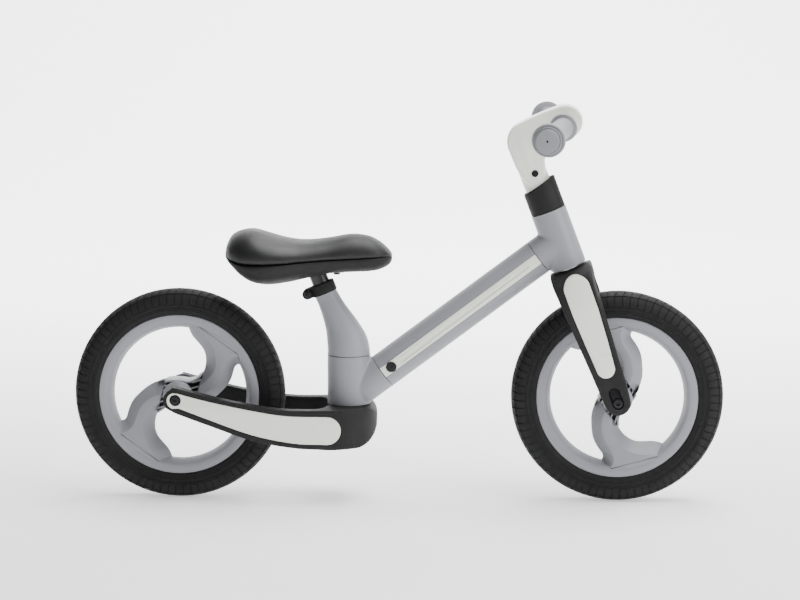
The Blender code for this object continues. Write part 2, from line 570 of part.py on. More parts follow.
def handlebar(parent):
    """A straight middle held by the stem, and two ends swept back into the grips."""
    base = empty("handlebar_place", (BAR_REACH, 0, BAR_HEIGHT), parent=parent)
    tip = GRIP_START + GRIP_LENGTH - 0.0060
    centre_line = [Vector((-(abs(y) - BAR_BEND) * tan(BAR_SWEEP) if abs(y) > BAR_BEND else 0, y, 0))
                   for y in (-tip, -BAR_BEND - 0.004, -BAR_BEND + 0.004, BAR_BEND - 0.004,
                             BAR_BEND + 0.004, tip)]
    loops = []
    for point in centre_line:
        turn = 0 if abs(point.y) <= BAR_BEND else BAR_SWEEP * (1 if point.y > 0 else -1)
        along = Vector((cos(turn), sin(turn), 0))
        loops.append(oval(point, along, Vector((0, 0, 1)), BAR_RADIUS, BAR_RADIUS, 16))
    place("handlebar_tube", loft(loops), STEEL, base)
    for name, side in (("right", -1), ("left", 1)):
        reach = GRIP_START
        grip_place = empty(f"grip_place_{name}", (-(reach - BAR_BEND) * tan(BAR_SWEEP), side * reach, 0),
                           parent=base)
        grip_place.rotation_euler = (0, 0, side * BAR_SWEEP)
        length = GRIP_LENGTH
        tube = BAR_RADIUS + GAP
        shape = [(tube, 0), (0.0185, 0), (0.0185, 0.0060), (0.0138, 0.0075), (0.0138, length - 0.0120),
                 (0.0200, length - 0.0105), (0.0210, length - 0.0060), (0.0195, length), (tube, length)]
        place(f"grip_{name}", turned([(r, side * y) for r, y in shape], 18, "Y"), GRIP, grip_place)
        far = (tip - reach) / cos(BAR_SWEEP)
        cap = [(0, far + 0.0020), (BAR_RADIUS - GAP, far + 0.0020), (BAR_RADIUS - GAP, length + GAP),
               (0.0150, length + GAP),
               (0.0150, length + 0.0022), (0.0135, length + 0.0032), (0, length + 0.0032)]
        place(f"grip_plug_{name}", turned([(r, side * y) for r, y in cap], 16, "Y"), GRIP, grip_place)


def saddle(parent):
    """Padded cover, lower shell, post with its plate and two bolts, from the seat tube's top."""
    # Stations along the saddle: x, top, seam, bottom, half width.
    shape = [(-0.2350, 0.3440, 0.3370, 0.3300, 0.0200), (-0.2280, 0.3600, 0.3300, 0.3160, 0.0440),
             (-0.2120, 0.3705, 0.3260, 0.3030, 0.0600), (-0.1900, 0.3730, 0.3265, 0.2980, 0.0665),
             (-0.1650, 0.3665, 0.3285, 0.2985, 0.0650), (-0.1350, 0.3590, 0.3320, 0.3040, 0.0560),
             (-0.1050, 0.3585, 0.3345, 0.3110, 0.0470), (-0.0750, 0.3645, 0.3350, 0.3145, 0.0410),
             (-0.0450, 0.3670, 0.3350, 0.3160, 0.0375), (-0.0220, 0.3585, 0.3360, 0.3190, 0.0310),
             (-0.0090, 0.3420, 0.3360, 0.3290, 0.0150)]
    count = 10
    cover, shell = [], []
    for x, top, seam, low, half in smooth_line(shape, 1):
        turns = [pi * i / count for i in range(count + 1)]
        up = [Vector((x, -half * cos(a), seam + GAP / 2 + (top - seam) * sin(a) ** 0.8)) for a in turns]
        down = [Vector((x, -half * cos(a), seam - GAP / 2 - (seam - low) * sin(a) ** 0.7)) for a in turns]
        cover.append(up)
        shell.append(down)
    origin = Vector((SEAT_TUBE_TOP[0], 0, SEAT_TUBE_TOP[1]))
    cover = [[p - origin for p in loop] for loop in cover]
    shell = [[p - origin for p in loop] for loop in shell]
    place("saddle_cushion", loft(cover), LEATHER, parent)
    base = place("saddle_shell", loft(shell), BLACK, parent)

    # The post slides in the seat tube; its plate lies in a recess of the shell.
    lean = (0, -SEAT_POST_TILT, 0)
    post = place("seat_post", rod(SEAT_POST_RADIUS, -0.0740, 0.0360, 20), STEEL_BLACK_PAINT, parent,
                 rotation=lean)
    plate_height = 0.0310
    above = slab([(-0.06, plate_height), (0.06, plate_height), (0.06, 0.08), (-0.06, 0.08)], -0.03, 0.03)
    boolean(post, place("post_top_cutter", above, parent=post, rotation=(0, SEAT_POST_TILT, 0)))
    plate = slab([(-0.0500, plate_height - 0.0035), (0.0270, plate_height - 0.0035),
                  (0.0270, plate_height), (-0.0500, plate_height)],
                 -0.0160, 0.0160)
    boolean(post, place("post_plate_guide", plate, parent=post, rotation=(0, SEAT_POST_TILT, 0)), "UNION")
    gap = GAP
    recess = slab([(-0.0500 - gap, -0.05), (0.0270 + gap, -0.05), (0.0270 + gap, plate_height + gap),
                   (-0.0500 - gap, plate_height + gap)],
                  -0.0160 - gap, 0.0160 + gap)
    boolean(base, place("shell_recess_cutter", recess, parent=base))
    for name, x in (("rear", -0.0400), ("front", 0.0170)):
        drill = rod(0.0028, 0, 0.0390, 12)
        boolean(base, place(f"shell_bolt_cutter_{name}", drill, parent=base, location=(x, 0, 0)))
        boolean(post, place(f"post_bolt_cutter_{name}", rod(0.0028, 0, 0.05, 12), parent=parent,
                            location=(x, 0, 0)))
        head = [(0, -0.0040), (0.0045, -0.0040), (0.0045, 0), (0.0025, 0), (0.0025, 0.0100), (0, 0.0100)]
        place(f"saddle_bolt_{name}", turned(head, 12), STEEL, parent, (x, 0, plate_height - 0.0035 - gap))


clear_scene()
GREY = material("grey_moulding", (0.32, 0.32, 0.34), 0.45)
WHITE = material("white_moulding", (0.68, 0.70, 0.64), 0.35)
BLACK = material("black_moulding", (0.028, 0.028, 0.029), 0.5)
RUBBER = material("tyre_rubber", (0.022, 0.022, 0.023), 0.75)
LEATHER = material("saddle_leather", (0.025, 0.025, 0.026), 0.45)
GRIP = material("grip_rubber", (0.30, 0.30, 0.32), 0.6)
STEEL = material("bright_steel", (0.55, 0.55, 0.56), 0.35, 1.0)
BLACK_STEEL = material("black_steel", (0.03, 0.03, 0.03), 0.4, 0.6)
STEEL_BLACK_PAINT = material("painted_steel", (0.03, 0.03, 0.03), 0.4, 0.2)

rear_stay()
seat_tube()
main_tube()
head_lug()
rear_axle = empty("rear_axle_place", REAR_AXLE)
axle_set("rear", rear_axle, False)
wheel("rear", 0.0, 0.0, rear_axle)

steering = empty("steering_axis", HEAD_FOOT, -HEAD_TILT)
fork(steering)
collar_and_stem(steering)
handlebar(steering)
front_axle = empty("front_axle_place", (0, 0, -AXLE_TO_HEAD), parent=steering)
axle_set("front", front_axle, True)
wheel("front", SPOKE_TURN - HEAD_TILT, HEAD_TILT, front_axle)

saddle(empty("seat_post_axis", (SEAT_TUBE_TOP[0], 0, SEAT_TUBE_TOP[1])))
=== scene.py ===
import json
from math import cos, pi, radians, sin, tan

import bmesh
import bpy
from mathutils import Matrix, Vector


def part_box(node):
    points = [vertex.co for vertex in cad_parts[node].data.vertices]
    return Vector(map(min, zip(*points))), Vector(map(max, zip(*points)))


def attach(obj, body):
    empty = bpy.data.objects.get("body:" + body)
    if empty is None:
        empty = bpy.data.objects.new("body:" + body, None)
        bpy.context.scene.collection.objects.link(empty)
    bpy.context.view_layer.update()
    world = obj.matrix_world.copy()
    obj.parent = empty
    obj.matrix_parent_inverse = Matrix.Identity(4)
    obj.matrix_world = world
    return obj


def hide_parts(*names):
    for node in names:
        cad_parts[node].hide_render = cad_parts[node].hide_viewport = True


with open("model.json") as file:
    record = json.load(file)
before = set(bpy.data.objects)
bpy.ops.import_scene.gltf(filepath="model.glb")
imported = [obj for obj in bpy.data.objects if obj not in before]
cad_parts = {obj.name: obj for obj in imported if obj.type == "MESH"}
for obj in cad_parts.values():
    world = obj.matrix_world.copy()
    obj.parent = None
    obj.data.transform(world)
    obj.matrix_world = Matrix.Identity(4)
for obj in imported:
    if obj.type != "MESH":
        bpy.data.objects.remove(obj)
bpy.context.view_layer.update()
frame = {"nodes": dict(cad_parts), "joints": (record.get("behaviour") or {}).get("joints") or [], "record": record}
mm = 0.001

joints = {joint["name"]: joint for joint in frame["joints"]}
rearAxle = Vector((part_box("rear_axle")[0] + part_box("rear_axle")[1]) / 2)
frontAxle = Vector((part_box("front_axle")[0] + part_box("front_axle")[1]) / 2)
headFoot = Vector(joints["steer"]["pos_m"])          # lower end of the head tube, on the steering axis
steerUp = Vector(joints["steer"]["axis"])
steerAhead = Vector((steerUp.z, 0, -steerUp.x))
postUp = Vector(joints["saddle_height"]["axis"])
postAhead = Vector((postUp.z, 0, -postUp.x))
leftward = Vector((0, 1, 0))
upward = Vector((0, 0, 1))
seatTop = Vector((-100.5, 0, 287.0)) * mm            # upper end of the seat tube
halfTurn = Matrix.Translation(rearAxle) @ Matrix.Rotation(pi, 4, "Y") @ Matrix.Translation(-rearAxle)
bothSides = ((-1, "Right"), (1, "Left"))


def clearSelection():
    if bpy.context.object and bpy.context.object.mode != "OBJECT":
        bpy.ops.object.mode_set(mode="OBJECT")
    bpy.ops.object.select_all(action="DESELECT")


def pick(piece):
    clearSelection()
    piece.select_set(True)
    bpy.context.view_layer.objects.active = piece


def editAll(piece):
    pick(piece)
    bpy.ops.object.mode_set(mode="EDIT")
    bpy.ops.mesh.select_all(action="SELECT")


def doneEditing():
    bpy.ops.mesh.select_all(action="SELECT")
    bpy.ops.mesh.normals_make_consistent(inside=False)
    bpy.ops.object.mode_set(mode="OBJECT")


def applyModifier(piece, kind, **settings):
    step = piece.modifiers.new(kind.lower(), kind)
    for key, value in settings.items():
        setattr(step, key, value)
    pick(piece)
    bpy.ops.object.modifier_apply(modifier=step.name)


def cut(piece, tool, operation="DIFFERENCE"):
    applyModifier(piece, "BOOLEAN", operation=operation, object=tool, solver="EXACT")
    bpy.data.objects.remove(tool)


def softenEdges(piece, width, segments=3, angle=35):
    applyModifier(piece, "BEVEL", width=width * mm, segments=segments, limit_method="ANGLE",
                  angle_limit=radians(angle), use_clamp_overlap=False, harden_normals=False)


def moulded(piece, voxel, rounds):
    # a voxel skin, relaxed a little, gives the rounded edges of a moulding
    applyModifier(piece, "REMESH", mode="VOXEL", voxel_size=voxel * mm)
    applyModifier(piece, "SMOOTH", factor=0.5, iterations=rounds)


def joinPieces(pieces):
    pick(pieces[0])
    for piece in pieces[1:]:
        piece.select_set(True)
    bpy.ops.object.join()
    return pieces[0]


def arc(centre, radius, start, end, count):
    angles = [radians(start + (end - start) * i / count) for i in range(count + 1)]
    return [(centre[0] + radius * cos(a), centre[1] + radius * sin(a)) for a in angles]


def smoothLine(points, steps):
    # a Catmull-Rom curve through a few points of any dimension
    knots = [Vector(p) for p in points]
    knots = [2 * knots[0] - knots[1]] + knots + [2 * knots[-1] - knots[-2]]
    line = []
    for a, b, c, d in zip(knots, knots[1:], knots[2:], knots[3:]):
        for i in range(steps):
            t = i / steps
            line.append(0.5 * (2 * b + (c - a) * t + (2 * a - 5 * b + 4 * c - d) * t * t
                               + (3 * b - a - 3 * c + d) * t ** 3))
    return [tuple(p) for p in line + [knots[-2]]]


def offsetOutline(outline, grow):
    # the outline moved outwards by grow, or inwards if it is negative
    area = sum(a[0] * b[1] - b[0] * a[1] for a, b in zip(outline, outline[1:] + outline[:1]))
    push = grow if area > 0 else -grow
    moved = []
    for before, here, after in zip(outline[-1:] + outline[:-1], outline, outline[1:] + outline[:1]):
        run = Vector((after[0] - before[0], after[1] - before[1])).normalized()
        moved.append((here[0] + push * run.y, here[1] - push * run.x))
    return moved


def fromAxle(outline, y=0.0):
    return [rearAxle + Vector((x * mm, y * mm, z * mm)) for x, z in outline]


def alongHead(ahead, up, y=0.0):
    # a place measured from the head tube's lower end, in millimetres
    return headFoot + steerAhead * (ahead * mm) + steerUp * (up * mm) + leftward * (y * mm)


def inSteering(outline, y=0.0):
    return [alongHead(x, z, y) for x, z in outline]


def closedOutline(name, corners):
    # a circle whose corners are put where the outline needs them
    clearSelection()
    bpy.ops.mesh.primitive_circle_add(vertices=len(corners), radius=0.05, location=(0, 0, 0))
    piece = bpy.context.object
    piece.name = name
    for vert, corner in zip(piece.data.vertices, corners):
        vert.co = corner
    return piece


def prism(name, corners, reach):
    piece = closedOutline(name, corners)
    editAll(piece)
    bpy.ops.mesh.edge_face_add()
    bpy.ops.mesh.extrude_region_move(TRANSFORM_OT_translate={"value": tuple(reach)})
    doneEditing()
    return piece


def turned(name, profile, steps, centre, axis, side=None):
    # profile is (radius, distance along the axis) in millimetres; corners on the axis are left open
    axis = Vector(axis).normalized()
    side = side or axis.orthogonal().normalized()
    piece = closedOutline(name, [Vector(centre) + side * (r * mm) + axis * (h * mm) for r, h in profile])
    editAll(piece)
    mesh = bmesh.from_edit_mesh(piece.data)
    mesh.verts.ensure_lookup_table()
    onAxis = [abs(r) < 1e-6 for r, h in profile]
    for edge in mesh.edges:
        edge.select = all(onAxis[v.index] for v in edge.verts)
    bpy.ops.mesh.select_mode(type="EDGE")
    if any(edge.select for edge in mesh.edges):
        bpy.ops.mesh.delete(type="EDGE")
    bpy.ops.mesh.select_mode(type="VERT")
    bpy.ops.mesh.select_all(action="SELECT")
    bpy.ops.mesh.spin(steps=steps, angle=2 * pi, center=tuple(centre), axis=tuple(axis))
    bpy.ops.mesh.select_all(action="SELECT")
    bpy.ops.mesh.remove_doubles(threshold=2e-6)
    doneEditing()
    return piece


def turnedOnAxle(name, profile, steps):
    return turned(name, profile, steps, rearAxle, leftward, upward)


def skin(name, loops):
    # a grid wrapped round loops of points, its seam merged and its two ends filled
    clearSelection()
    bpy.ops.mesh.primitive_grid_add(x_subdivisions=len(loops[0]), y_subdivisions=len(loops) - 1,
                                    location=(0, 0, 0))
    piece = bpy.context.object
    piece.name = name
    spots = [spot for loop in loops for spot in list(loop) + [loop[0]]]
    for vert, spot in zip(piece.data.vertices, spots):
        vert.co = spot
    editAll(piece)
    bpy.ops.mesh.remove_doubles(threshold=1e-6)
    bpy.ops.mesh.select_all(action="SELECT")
    bpy.ops.mesh.fill_holes(sides=0)
    doneEditing()
    return piece


def copied(piece, name, matrix=None):
    twin = piece.copy()
    twin.data = piece.data.copy()
    twin.name = name
    bpy.context.scene.collection.objects.link(twin)
    if matrix is not None:
        twin.data.transform(matrix)
        if matrix.determinant() < 0:
            twin.data.flip_normals()
    return twin


def finishPiece(piece, body, slot, nodes=(), angle=35, look=None):
    # a piece takes its slot's look unless another is given
    piece.data.materials.clear()
    piece.data.materials.append(look or slotLooks[slot])
    pick(piece)
    bpy.ops.object.shade_smooth_by_angle(angle=radians(angle))
    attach(piece, body)
    if nodes:
        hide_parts(*nodes)
    return piece


mirrorAcross = Matrix.Scale(-1, 4, (0, 1, 0))


def linear(hexCode):
    shares = [int(hexCode[i:i + 2], 16) / 255 for i in (1, 3, 5)]
    return tuple(s / 12.92 if s <= 0.04045 else ((s + 0.055) / 1.055) ** 2.4 for s in shares) + (1,)


def addNode(tree, kind, settings=None, inputs=None):
    node = tree.nodes.new(kind)
    for key, value in (settings or {}).items():
        setattr(node, key, value)
    for key, value in (inputs or {}).items():
        if isinstance(value, bpy.types.NodeSocket):
            tree.links.new(value, node.inputs[key])
        else:
            node.inputs[key].default_value = value
    return node


def surface(name, s):
    # two close colours in soft patches, a roughness that wanders, and one grain for the relief
    look = bpy.data.materials.new(name)
    look.use_nodes = True
    tree = look.node_tree
    shader = tree.nodes["Principled BSDF"]
    spot = addNode(tree, "ShaderNodeTexCoord").outputs["Object"]
    patches = addNode(tree, "ShaderNodeTexNoise", inputs={
        "Vector": spot, "Scale": 1 / (s["patchSize"] * mm), "Detail": 3.0, "Roughness": 0.55})
    tint = addNode(tree, "ShaderNodeMix", {"data_type": "RGBA"}, {
        0: patches.outputs["Fac"], 6: linear(s["colour"]), 7: linear(s["otherColour"])})
    grainSpot = spot
    if "grainStretch" in s:
        grainSpot = addNode(tree, "ShaderNodeMapping", inputs={
            "Vector": spot, "Scale": s["grainStretch"]}).outputs["Vector"]
    if s.get("cells"):
        grain = addNode(tree, "ShaderNodeTexVoronoi", {"feature": s["cells"]}, {
            "Vector": grainSpot, "Scale": 1 / (s["grainSize"] * mm), "Randomness": 1.0})
        height = grain.outputs["Distance"]
    else:
        grain = addNode(tree, "ShaderNodeTexNoise", inputs={
            "Vector": grainSpot, "Scale": 1 / (s["grainSize"] * mm), "Detail": 4.0, "Roughness": 0.6})
        height = grain.outputs["Fac"]
    sheenPatch = addNode(tree, "ShaderNodeMapRange", inputs={
        "Value": patches.outputs["Fac"], "From Min": 0.3, "From Max": 0.7,
        "To Min": s["roughness"][0], "To Max": s["roughness"][1]})
    relief = addNode(tree, "ShaderNodeBump", inputs={
        "Height": height, "Strength": s["grainStrength"], "Distance": s["grainDepth"] * mm})
    tree.links.new(tint.outputs[2], shader.inputs["Base Color"])
    tree.links.new(sheenPatch.outputs["Result"], shader.inputs["Roughness"])
    tree.links.new(relief.outputs["Normal"], shader.inputs["Normal"])
    for key, value in s.get("shader", {}).items():
        shader.inputs[key].default_value = value
    return look


# Polypropylene moulded in a spark-eroded mould: an even, silky grey with a very fine grain
greyMoulding = surface("greyMouldedPolypropylene", dict(
    colour="#86878c", otherColour="#8c8d92", patchSize=60, grainSize=0.5, grainDepth=0.03, grainStrength=0.25,
    roughness=(0.40, 0.50), shader={"IOR": 1.49}))
# ABS from a polished mould: warm white with a soft gloss
whiteMoulding = surface("warmWhiteGlossAbs", dict(
    colour="#e9ebdf", otherColour="#edefe3", patchSize=80, grainSize=0.9, grainDepth=0.02, grainStrength=0.12,
    roughness=(0.24, 0.34), shader={"IOR": 1.53, "Coat Weight": 0.15, "Coat Roughness": 0.2}))
# Glass-filled nylon: near-black with a dull satin that greys along the light
blackMoulding = surface("blackGlassFilledNylon", dict(
    colour="#101010", otherColour="#151515", patchSize=35, grainSize=0.45, grainDepth=0.05, grainStrength=0.4,
    roughness=(0.60, 0.70), shader={"IOR": 1.53, "Specular IOR Level": 0.3}))
# Vulcanised foam rubber: matt black, slightly dusty on the high spots
tyreRubber = surface("mattTyreRubber", dict(
    colour="#141414", otherColour="#191919", patchSize=14, grainSize=0.8, grainDepth=0.10, grainStrength=0.5,
    roughness=(0.62, 0.80), shader={"IOR": 1.52, "Specular IOR Level": 0.25}))
# Thermoplastic elastomer: soft-touch grey, a little darker than the frame
gripRubber = surface("greySoftTouchElastomer", dict(
    colour="#87888c", otherColour="#8d8e92", patchSize=25, grainSize=0.5, grainDepth=0.04, grainStrength=0.3,
    roughness=(0.52, 0.64), shader={"IOR": 1.50}))
# Polyurethane-coated leathercloth: black pebbles about 0.9 mm across, sheen on their tops
saddleLeather = surface("blackPebbledLeathercloth", dict(
    colour="#131314", otherColour="#181819", patchSize=30, grainSize=1.2, grainDepth=0.18, grainStrength=0.8,
    cells="SMOOTH_F1", roughness=(0.46, 0.56), shader={"IOR": 1.50, "Specular IOR Level": 0.4}))
# Black-oxide steel: dark with a dull metallic glint
blackSteel = surface("blackOxideSteel", dict(
    colour="#262628", otherColour="#303032", patchSize=4, grainSize=0.3, grainDepth=0.02, grainStrength=0.3,
    roughness=(0.34, 0.48), shader={"Metallic": 0.85}))
# Zinc-plated steel: pale grey metal with fine turning marks round it
brightSteel = surface("zincPlatedSteel", dict(
    colour="#b4b6ba", otherColour="#c3c4c6", patchSize=6, grainSize=0.4, grainDepth=0.015, grainStrength=0.3,
    grainStretch=(1, 6, 1), roughness=(0.26, 0.38), shader={"Metallic": 1.0}))
# Powder coat on the steel post: deep black with a faint orange peel
paintedSteel = surface("blackPowderCoat", dict(
    colour="#131314", otherColour="#181819", patchSize=20, grainSize=1.2, grainDepth=0.05, grainStrength=0.25,
    roughness=(0.30, 0.40), shader={"IOR": 1.50}))
# Near-black plate of the hub's core, seen only between the vanes; the same near-black fills the grip plugs' holes
# as painted shade
hubCoreAndHoleShade = surface("nearBlackHubCoreAndPaintedHoleShade", dict(
    colour="#0f0f10", otherColour="#141415", patchSize=12, grainSize=0.5, grainDepth=0.03, grainStrength=0.3,
    roughness=(0.55, 0.65), shader={"IOR": 1.53, "Specular IOR Level": 0.25}))
# Opal acrylic lit faintly from below: matt white, so that shadows stay thin
opalAcrylic = surface("backlitOpalAcrylic", dict(
    colour="#f7f7f8", otherColour="#f9f9fa", patchSize=400, grainSize=3, grainDepth=0.02, grainStrength=0.05,
    roughness=(0.85, 0.95), shader={"IOR": 1.49, "Specular IOR Level": 0.2, "Emission Color": linear("#fbfbfc"),
                                    "Emission Strength": 0.6}))
print("materials done")

slotLooks = {"grey_moulding": greyMoulding, "white_moulding": whiteMoulding, "black_moulding": blackMoulding,
             "tyre_rubber": tyreRubber, "grip_rubber": gripRubber, "saddle_leather": saddleLeather,
             "black_steel": blackSteel, "bright_steel": brightSteel, "painted_steel": paintedSteel}
for part in frame["record"]["subparts"]:
    cadNode = frame["nodes"][part["node"]]
    cadNode.data.materials.clear()
    cadNode.data.materials.append(slotLooks[part["material_slot"]])
for bolt in ("saddle_bolt_front", "saddle_bolt_rear"):
    frame["nodes"][bolt].data.materials[0] = blackSteel


tyre = dict(blocks=80, grooveShare=0.09, grooveWall=0.016,    # shares of one tread block
            grooveDepth=1.6, diagonal=0.5, sawtooth=1.5)
# half of the section from the bead to the crown:
# distance from the middle, radius, share of groove, share of sawtooth
tyre["rows"] = [
    (0, 104.5, 0, 0), (14.8, 104.5, 0, 0), (14.8, 110.3, 0, 0), (17.8, 110.5, 0, 0), (18.7, 111.4, 0, 0),
    (19.7, 114.0, 0, 0), (20.4, 116.4, 0, 0), (20.9, 116.8, 0, 0), (20.9, 117.3, 0, 0), (20.5, 117.6, 0, 0),
    (20.7, 118.7, 0, 0), (21.2, 119.0, 0, 0), (21.2, 119.5, 0, 0), (20.8, 119.8, 0, 0), (20.7, 121.4, 0, 0),
    (21.0, 123.2, 0, 0), (21.8, 123.7, 0, 0), (21.9, 124.3, 0, 0), (21.4, 124.7, 0, 0), (21.3, 125.4, 0, 0),
    (21.9, 125.9, 1, 0), (21.8, 128.4, 1, 0), (21.1, 131.6, 1, 0), (19.7, 135.0, 1, 0), (17.9, 137.9, 1, 0.4),
    (16.8, 138.0, 1, 1), (15.9, 139.1, 1, 1), (16.1, 140.3, 1, 1), (12.9, 142.4, 0.9, 0.5),
    (8.6, 144.0, 0.8, 0), (4.2, 144.8, 0.7, 0), (0, 145.0, 0.7, 0)]


def tyreSector(name):
    rows = tyre["rows"] + [(-y, r, deep, saw) for y, r, deep, saw in reversed(tyre["rows"][:-1])]
    wall, groove = tyre["grooveWall"], tyre["grooveShare"]
    columns = [0, wall, groove - wall, groove, 0.4, 0.7, 1]
    clearSelection()
    bpy.ops.mesh.primitive_grid_add(x_subdivisions=len(columns) - 1, y_subdivisions=len(rows) - 1,
                                    location=(0, 0, 0))
    piece = bpy.context.object
    piece.name = name
    step = 2 * pi / tyre["blocks"]
    spots = []
    for y, r, deep, saw in rows:
        side = -1 if y < 0 else 1
        lean = tyre["diagonal"] * (max(-1, min(1, y / 17)) if r > 124 else side)
        for column, share in enumerate(columns):
            sunk = deep * tyre["grooveDepth"] if column in (1, 2) else 0
            drift = 0.5 - share / groove if share <= groove else (share - groove) / (1 - groove) - 0.5
            out = abs(y) + saw * tyre["sawtooth"] * drift
            inward = Vector((-side * out, 118 - r)).normalized() * sunk
            across = side * out + inward.x if y else 0
            turn, reach = step * (share + lean), r + inward.y
            spots.append(rearAxle + Vector((sin(turn) * reach, across, cos(turn) * reach)) * mm)
    for vert, spot in zip(piece.data.vertices, spots):
        vert.co = spot
    return piece


def makeTyre():
    piece = tyreSector("rearTyre")
    editAll(piece)
    step = 2 * pi / tyre["blocks"]
    bpy.ops.mesh.spin(steps=tyre["blocks"] - 1, angle=2 * pi - step, dupli=True,
                      center=tuple(rearAxle), axis=(0, 1, 0))
    bpy.ops.mesh.select_all(action="SELECT")
    bpy.ops.mesh.remove_doubles(threshold=5e-6)
    doneEditing()
    return piece


rim = dict(steps=120, section=[
    (110.2, 15.3), (110.2, 17.6), (109.4, 18.4), (107.5, 18.7), (103, 18.6), (99.5, 18.0),
    (97.9, 17.3), (96.6, 16.0), (95.6, 14.3), (94, 11), (92.4, 6), (91.3, 2)])


def makeRimBand():
    half = rim["section"]
    profile = [(104, 15.3)] + half + [(r, -y) for r, y in reversed(half)] + [(104, -15.3)]
    return turnedOnAxle("rearRimBand", profile, rim["steps"])


# stations out along one spoke: outer edge, inner edge, inner edge, outer edge
# the outer edges lie at mid-thickness
spoke = dict(face=17.7, edgeBand=0.9, bevel=1.3, steps=5, stations=[
    (29.5, 26, 27.5, 12, 24, -0.5, 17, -18.5), (31.5, 28.5, 34, 16.2, 33, 1.5, 29, -16.3),
    (33.8, 33.5, 41, 23, 43, 7.2, 44.5, -9), (35.3, 40, 47.5, 31.5, 52.5, 17, 60.5, 5),
    (35.6, 46, 50.3, 40.5, 57.5, 26.5, 68, 15), (34.8, 53.5, 50.2, 52, 60.8, 36.5, 72.5, 26),
    (31.5, 61.5, 47, 63.5, 64.2, 43.5, 75, 34.8), (25, 69.8, 42, 74, 68.5, 49.3, 78, 38.6),
    (18, 78, 36, 83, 75, 53.4, 82, 39.8), (13, 88, 29, 93, 81, 54.3, 88, 40.5),
    (12, 94, 26, 96, 85, 55, 91.5, 43), (12.5, 101, 29.5, 103.5, 90, 60, 94, 48)])


def makeSpoke():
    face, rise = spoke["face"], spoke["edgeBand"]
    loops = []
    for s in smoothLine(spoke["stations"], spoke["steps"]):
        left, inLeft, inRight, right = s[0:2], s[2:4], s[4:6], s[6:8]
        ring = [(left, rise), (inLeft, face), (inRight, face), (right, rise),
                (right, -rise), (inRight, -face), (inLeft, -face), (left, -rise)]
        loops.append([rearAxle + Vector((p[0], y, p[1])) * mm for p, y in ring])
    piece = skin("rearSpoke", loops)
    softenEdges(piece, spoke["bevel"], 3, 25)
    return piece


hub = dict(barrel=17.0, barrelReach=29.6, bore=14.4, boreFloor=22.0, vaneWidth=1.7, vaneFace=16.8, coreFace=9.0,
           skinWidth=2.6, skinFace=17.5,
           skinLine=[(-19.5, 17.2), (-13.4, 18.2), (0.4, 18.2), (9.6, 17.0), (17, 17.5),
                     (23.9, 21.0), (29.6, 25.6)],
           edgeLine=((17.1, -18.3), (31.3, 28.4)),
           # height at the edge, slope, inner end
           vanes=[(20, 23, 17.5), (11, 19, 15), (3.5, 15, 14), (-4.8, 11.5, 13), (-11.5, 8.5, 13)])


def band(line, out, inside):
    # an open line made a closed band, grown by different amounts on its two sides
    outer, inner = [], []
    for before, here, after in zip(line[:1] + line[:-1], line, line[1:] + line[-1:]):
        run = Vector((after[0] - before[0], after[1] - before[1])).normalized()
        outer.append((here[0] - run.y * out, here[1] + run.x * out))
        inner.append((here[0] + run.y * inside, here[1] - run.x * inside))
    return outer + inner[::-1]


def makeHub():
    parts = []
    low, high = hub["edgeLine"]
    top = band(smoothLine(hub["skinLine"], 4), hub["skinWidth"] / 2, hub["skinWidth"] / 2)
    parts.append(prism("hubSkin", fromAxle(top, -hub["skinFace"]), (0, 2 * hub["skinFace"] * mm, 0)))
    softenEdges(parts[-1], 0.5, 2, 50)
    for height, slope, inner in hub["vanes"]:
        share = (height - low[1]) / (high[1] - low[1])
        x = low[0] + share * (high[0] - low[0]) + 1.0
        rise = tan(radians(slope))
        line = [(x - t * (x - inner), height - t * (x - inner) * rise * (1 - 0.25 * t))
                for t in (0, 0.25, 0.5, 0.75, 1)]
        blade = band(line, hub["vaneWidth"] / 2, hub["vaneWidth"] / 2)
        parts.append(prism("hubVane", fromAxle(blade, -hub["vaneFace"]), (0, 2 * hub["vaneFace"] * mm, 0)))
        softenEdges(parts[-1], 0.35, 2, 50)
    b, h, bore, floor = hub["barrel"], hub["barrelReach"], hub["bore"], hub["boreFloor"]
    barrel = [(b, -h + 0.6), (b, h - 0.6), (b - 0.6, h), (bore, h), (bore, floor), (9.0, floor),
              (9.0, -floor), (bore, -floor), (bore, -h), (b - 0.6, -h)]
    turnedParts = [copied(part, part.name + "Opposite", halfTurn) for part in parts]
    parts.append(turnedOnAxle("hubBarrel", barrel, 48))
    return parts + turnedParts


def makeHubCore():
    # the dark plate behind the vanes
    low, high = hub["edgeLine"]
    corners = [(low[0] + 1, low[1] + 1.5), (high[0] + 0.5, high[1] - 3), (17, 17.5), (0, 18.6),
               (-13, 18.5), (-24.8, 17.2), (-30.5, 15)]
    corners += [(-x, -z) for x, z in corners]
    piece = prism("rearHubCore", fromAxle(corners, -hub["coreFace"]), (0, 2 * hub["coreFace"] * mm, 0))
    cut(piece, turnedOnAxle("coreBore", [(0, -20), (16, -20), (16, 20), (0, 20)], 32))
    return piece


hubCover = dict(steps=48, dome=[
    (20.6, 30.3), (20.6, 31.4), (20.1, 32.4), (19.0, 33.8), (17.2, 35.5), (14.6, 37.9), (12.4, 39.3),
    (10.2, 40.2), (8.7, 40.5), (8.0, 40.2), (8.0, 31.8), (15.0, 31.8), (15.0, 30.3)])


def makeHubCover():
    return turnedOnAxle("rearHubCoverRight", [(r, -y) for r, y in hubCover["dome"]], hubCover["steps"])


spokeTurn = Matrix.Rotation(radians(-51.5), 4, "Y")      # front spokes against the rear ones
frontTurn = Matrix.Translation(frontAxle) @ spokeTurn @ Matrix.Translation(-rearAxle)
toFront = Matrix.Translation(frontAxle - rearAxle)
flip = Matrix.Translation(rearAxle) @ mirrorAcross @ Matrix.Translation(-rearAxle)

